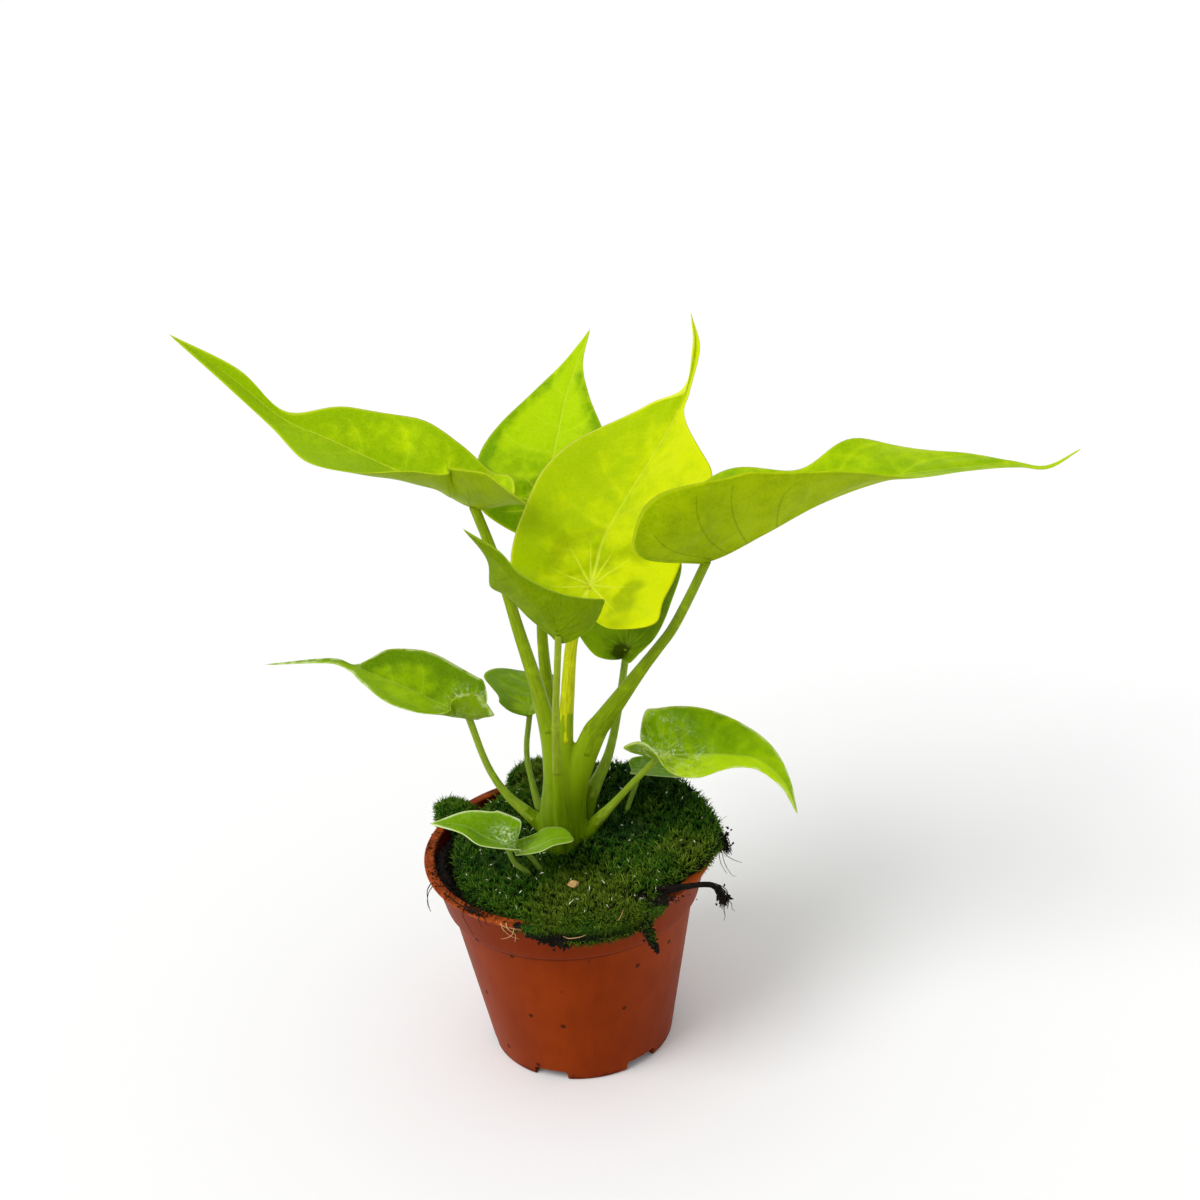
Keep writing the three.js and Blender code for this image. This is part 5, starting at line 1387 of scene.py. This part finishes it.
def addMoss():
    material = mossMaterial()
    rng = np.random.default_rng(23)
    for name, cushion in mossCushions.items():
        rings, sides = cushion["grid"]
        turns = np.linspace(0, 1, sides, endpoint=False)
        shares = np.sin(np.pi / 2 * np.arange(rings + 1) / rings)
        under = np.array([mossBottom(name, share + 0 * turns, turns) for share in shares])
        over = np.array([mossTop(name, 0.996 * share + 0 * turns, turns) for share in shares[::-1]])
        over[..., 2] += 0.35 * lumps(over[..., 0], over[..., 1])
        points, triangles = ringMesh(np.concatenate([under, over]))
        x, y = points[:, 0], points[:, 1]
        depth = vectors(0, 0, mossHue(x, y))
        depth[:len(points) // 2, 0] = -1
        if name == "main":
            depth[:, 0] = np.minimum(depth[:, 0], -inSpot(moss["hollow"], x, y, 4))
        addPiece(f"moss_{name}_bed", "moss", [f"moss_{name}"], (points, triangles), material,
                 {"mossMap": depth})
        points, triangles, shade = shootsOn(name, rng)
        most = moss["mostShoots"]
        parts = range(0, len(points) // 7, most)
        for k in parts:
            own = slice(7 * k, 7 * (k + most))
            label = f"moss_{name}_shoots" + (f"_{k // most + 1}" if len(parts) > 1 else "")
            addShoots(label, points[own], triangles[10 * k:10 * (k + most)] - 7 * k, shade[own],
                      material)
        addShoots(f"moss_{name}_fringe", *fringeShoots(name, rng), material)
    addHangingSoil(rng)


# Small things: the stone, the roots, pale specks and fibres

smallThings = {
    "stoneCentre": (1, -29.5, 72.4),
    "stoneSize": (1.8, 1.2, 1.2),
    "stoneTone": (206, 172, 110),
    "stoneShade": (164, 122, 76),
    "rootTone": (14, 9, 7),
    "rootPaleTone": (30, 22, 16),
    "specks": 110,
    "speckTone": (255, 255, 244),
    "speckShade": (240, 240, 216),
}


def plainMaterial(name, screenTone, shadeTone, scale, rough, depth, selfGlow=0):
    material, ink, place = newMaterial(name)
    patch = ink.noise(place, scale, 5, 0.65)
    colour = ink.mix(patch.rise(0.35, 0.7), shadeTone, screenTone)
    surface(ink, colour, rough, 0.12, relief=patch, depth=depth, selfGlow=selfGlow)
    return material


def addStone():
    # Broken faces: the ball is cut by planes at uneven distances
    slope, turn = np.meshgrid(np.linspace(0, np.pi, 33), around(48), indexing="ij")
    way = vectors(*polar(np.sin(slope), turn), np.cos(slope))
    rng = np.random.default_rng(5)
    planes = unit(rng.normal(size=(9, 3)))
    depth = rng.uniform(0.55, 0.85, 9)
    facing = np.maximum(np.einsum("ijk,nk->ijn", way, planes), 1e-3)
    reach = np.minimum(np.min(depth / facing, -1), 1.06)
    reach = reach + 0.03 * lumps(4 * way[..., 0], 4 * way[..., 1], 3 * way[..., 2])
    size = way * reach[..., None] * np.array(smallThings["stoneSize"])
    points, triangles = ringMesh(np.array(smallThings["stoneCentre"]) + size)
    material = plainMaterial("sandy stone", smallThings["stoneTone"], smallThings["stoneShade"],
                             1400, 0.8, 0.25)
    addPiece("stone_chip", "stone", ["stone"], (points, triangles[:, ::-1]), material,
             smooth=False)


def strands(rows, count, spread, thick, rng, ends=0.0):
    # Fine tubes that wander about a path: each is the path, moved off by a slow random curve
    rows = np.asarray(rows, float)
    share = np.linspace(0, 1, 12)[:, None]
    path = through(rows, (len(rows) - 1) * share[:, 0])
    parts = []
    for _ in range(count):
        phase, speed = rng.uniform(0, 6.28, 3), rng.uniform(2, 7, 3)
        off = np.sin(phase + speed * share) * path[:, 3:] * spread
        off = off + ends * share ** 3 * rng.normal(0, 1, 3)
        radius = thick * rng.uniform(0.5, 1.3) * (1 - 0.75 * share) + 0.03
        parts.append(tube(np.concatenate([path[:, :3] + off, radius, radius], 1), 18, 6)[:2])
    return joined(parts)


# Rows of x, y, z and half width
roots = {
    "upper": [[39, 2, 69, 0.9], [43, 0.5, 69.6, 1.3], [47, -2, 67, 1.6], [49, -3.5, 63.5, 0.9]],
    "lower": [[26, -31.5, 69.6, 1.3], [33, -32.4, 70.6, 0.75], [38.5, -34.2, 72.2, 0.6],
              [42.4, -36.2, 72.6, 0.75], [44.6, -38.4, 70.4, 1.3], [45, -39.4, 68.4, 1.1]],
}

# Soil caught in the roots: middle, spread and number of grains
rootSoil = [((45.6, -3, 67.6), 1.9, 190), ((43.5, -0.5, 69.6), 1.4, 90),
            ((44.6, -38.6, 70), 0.9, 80)]

# Fine hairs: their tone, then path points and the radius at the start of each
hairs = {
    "root": ((14, 9, 7), [
        ([[46, -3, 67], [48, -5, 63.5], [50.5, -5.5, 61.5], [53, -5, 60]], 0.16),
        ([[46.5, -4, 66], [47.6, -6.5, 61], [49.5, -7.5, 57.5], [51, -7, 56.5]], 0.12),
        ([[45, -1, 70], [46.5, -1.5, 73], [48, -2, 74.5], [49, -3, 76]], 0.1),
        ([[46, -5, 65], [46.2, -7, 62], [47.5, -8.5, 59.5], [48, -9, 59]], 0.12),
        ([[45, -39.4, 69], [44.6, -40, 66.8], [44.8, -40.4, 65], [44.4, -40.6, 63.4]], 0.16),
        ([[45.2, -38.8, 70], [46.8, -39.4, 68.6], [47, -39.8, 67], [47.8, -40, 66]], 0.12),
    ]),
    "dark": ((40, 26, 16), [
        ([[-42, -17, 68.2], [-43.2, -17.8, 66.4], [-43.4, -18.2, 63], [-43, -18.8, 59.6]], 0.18),
        ([[-41.5, -18.6, 68.2], [-42.8, -19.8, 66.5], [-43.4, -20, 63], [-42.6, -20.4, 60.5]],
         0.14),
        ([[-31.6, -31.6, 68.2], [-32, -32.3, 66], [-31, -31.8, 62.4], [-29.6, -31.4, 58.4]], 0.13),
        ([[-27, -35.6, 68.2], [-27.2, -36.2, 66.6], [-26.6, -36, 64.6], [-26.2, -35.6, 63]], 0.13),
        ([[-36, -25, 68.3], [-34, -28.4, 68.4], [-31, -31.4, 68.3], [-28, -34.4, 68.2]], 0.22),
        ([[-29, -33, 68.4], [-27, -35.2, 68.6], [-25.4, -37, 68], [-25, -37.8, 66]], 0.24),
    ]),
    "pale": ((206, 160, 112), [
        ([[-19, -40.4, 68], [-18.6, -41.6, 66.6], [-16.6, -41, 64], [-17, -40.2, 61]], 0.16),
        ([[-20.6, -39.8, 67.8], [-20, -40.8, 66], [-18, -40.6, 63.4], [-15.6, -40.4, 62]], 0.13),
        ([[-22, -38.8, 67.6], [-19.6, -40.6, 66.8], [-17, -41.6, 66.6], [-14.6, -42.6, 66.4]],
         0.14),
        ([[-16.6, -41.6, 67], [-17.6, -41.6, 64.4], [-19.6, -40.4, 62.6], [-21, -39.6, 62]], 0.12),
        ([[-3, -46, 66], [-1, -46.8, 65.4], [2, -47.2, 65.8], [4, -47.2, 66.4]], 0.16),
        ([[13, -45, 69], [14, -46.4, 70.6], [14.6, -46.9, 72.2], [15.4, -47, 74]], 0.13),
    ]),
}


def addRoots():
    material = plainMaterial("black roots", smallThings["rootPaleTone"], smallThings["rootTone"],
                             900, 0.8, 0.4)
    rng = np.random.default_rng(31)
    for name, rows in roots.items():
        bundle = strands(rows, 46, 0.8, 0.22, rng, 0.5)
        addPiece(f"root_{name}_strands", "root", [f"root_{name}"], bundle, material)
    centres = np.concatenate([rng.normal(0, size, (count, 3)) + middle
                              for middle, size, count in rootSoil])
    soilGrains = grains(centres, grainSizes(0.25, 0.7, len(centres), rng), rng)
    addPiece("root_soil", "root", [], soilGrains, soilMaterial(), smooth=False)
    for label, (hairTone, paths) in hairs.items():
        threads = []
        for path, thick in paths:
            radii = thick * (1 - 0.2 * np.arange(len(path)))
            threads.append(tube([[*point, r, r] for point, r in zip(path, radii)], 22, 6)[:2])
        finish = plainMaterial(f"{label} hairs", hairTone, hairTone, 900, 0.7, 0.1)
        addPiece(f"hairs_{label}", "root", [], joined(threads), finish)


def addSpecks():
    rng = np.random.default_rng(41)
    count = smallThings["specks"]
    share, turns = np.sqrt(rng.uniform(0.05, 0.9, count)), rng.uniform(0, 1, count)
    centres = mossTop("main", share, turns) + [0, 0, 1.9]
    size = vectors(*[rng.uniform(low, high, count) for low, high in
                     ((0.07, 0.16), (0.07, 0.16), (0.25, 1.1))])
    # Painted light: the pale specks glow a little in their own colour, for their glints
    material = plainMaterial("pale specks", smallThings["speckTone"], smallThings["speckShade"],
                             900, 0.7, 0.1, 0.35)
    addPiece("moss_specks", "moss", [], grains(centres, size, rng), material, smooth=False)


def addStudio():
    addCamera()
    addKeyLight()
    world = bpy.data.worlds.new("studio")
    world.use_nodes = True
    sky = world.node_tree.nodes["Background"]
    sky.inputs["Color"].default_value = (1, 1, 1, 1)
    sky.inputs["Strength"].default_value = studio["skyStrength"]
    bpy.context.scene.world = world
    bpy.context.scene.view_settings.view_transform = "Standard"
    material, ink, _ = newMaterial("pale floor")
    surface(ink, studio["floorColour"], 0.7, 0.1)
    points = studio["floorHalf"] * np.array([[-1, -1, 0], [1, -1, 0], [1, 1, 0], [-1, 1, 0]])
    floor = addMesh("floor", points, [[0, 1, 2], [0, 2, 3]], material, smooth=False)


addStudio()
print("studio ready")
addPot()
print("pot ready")
addSoil()
print("soil ready")
addCrown()
addLeaves()
print("leaves ready")
addMoss()
print("moss ready")
addStone()
addRoots()
addSpecks()
print("small things ready")
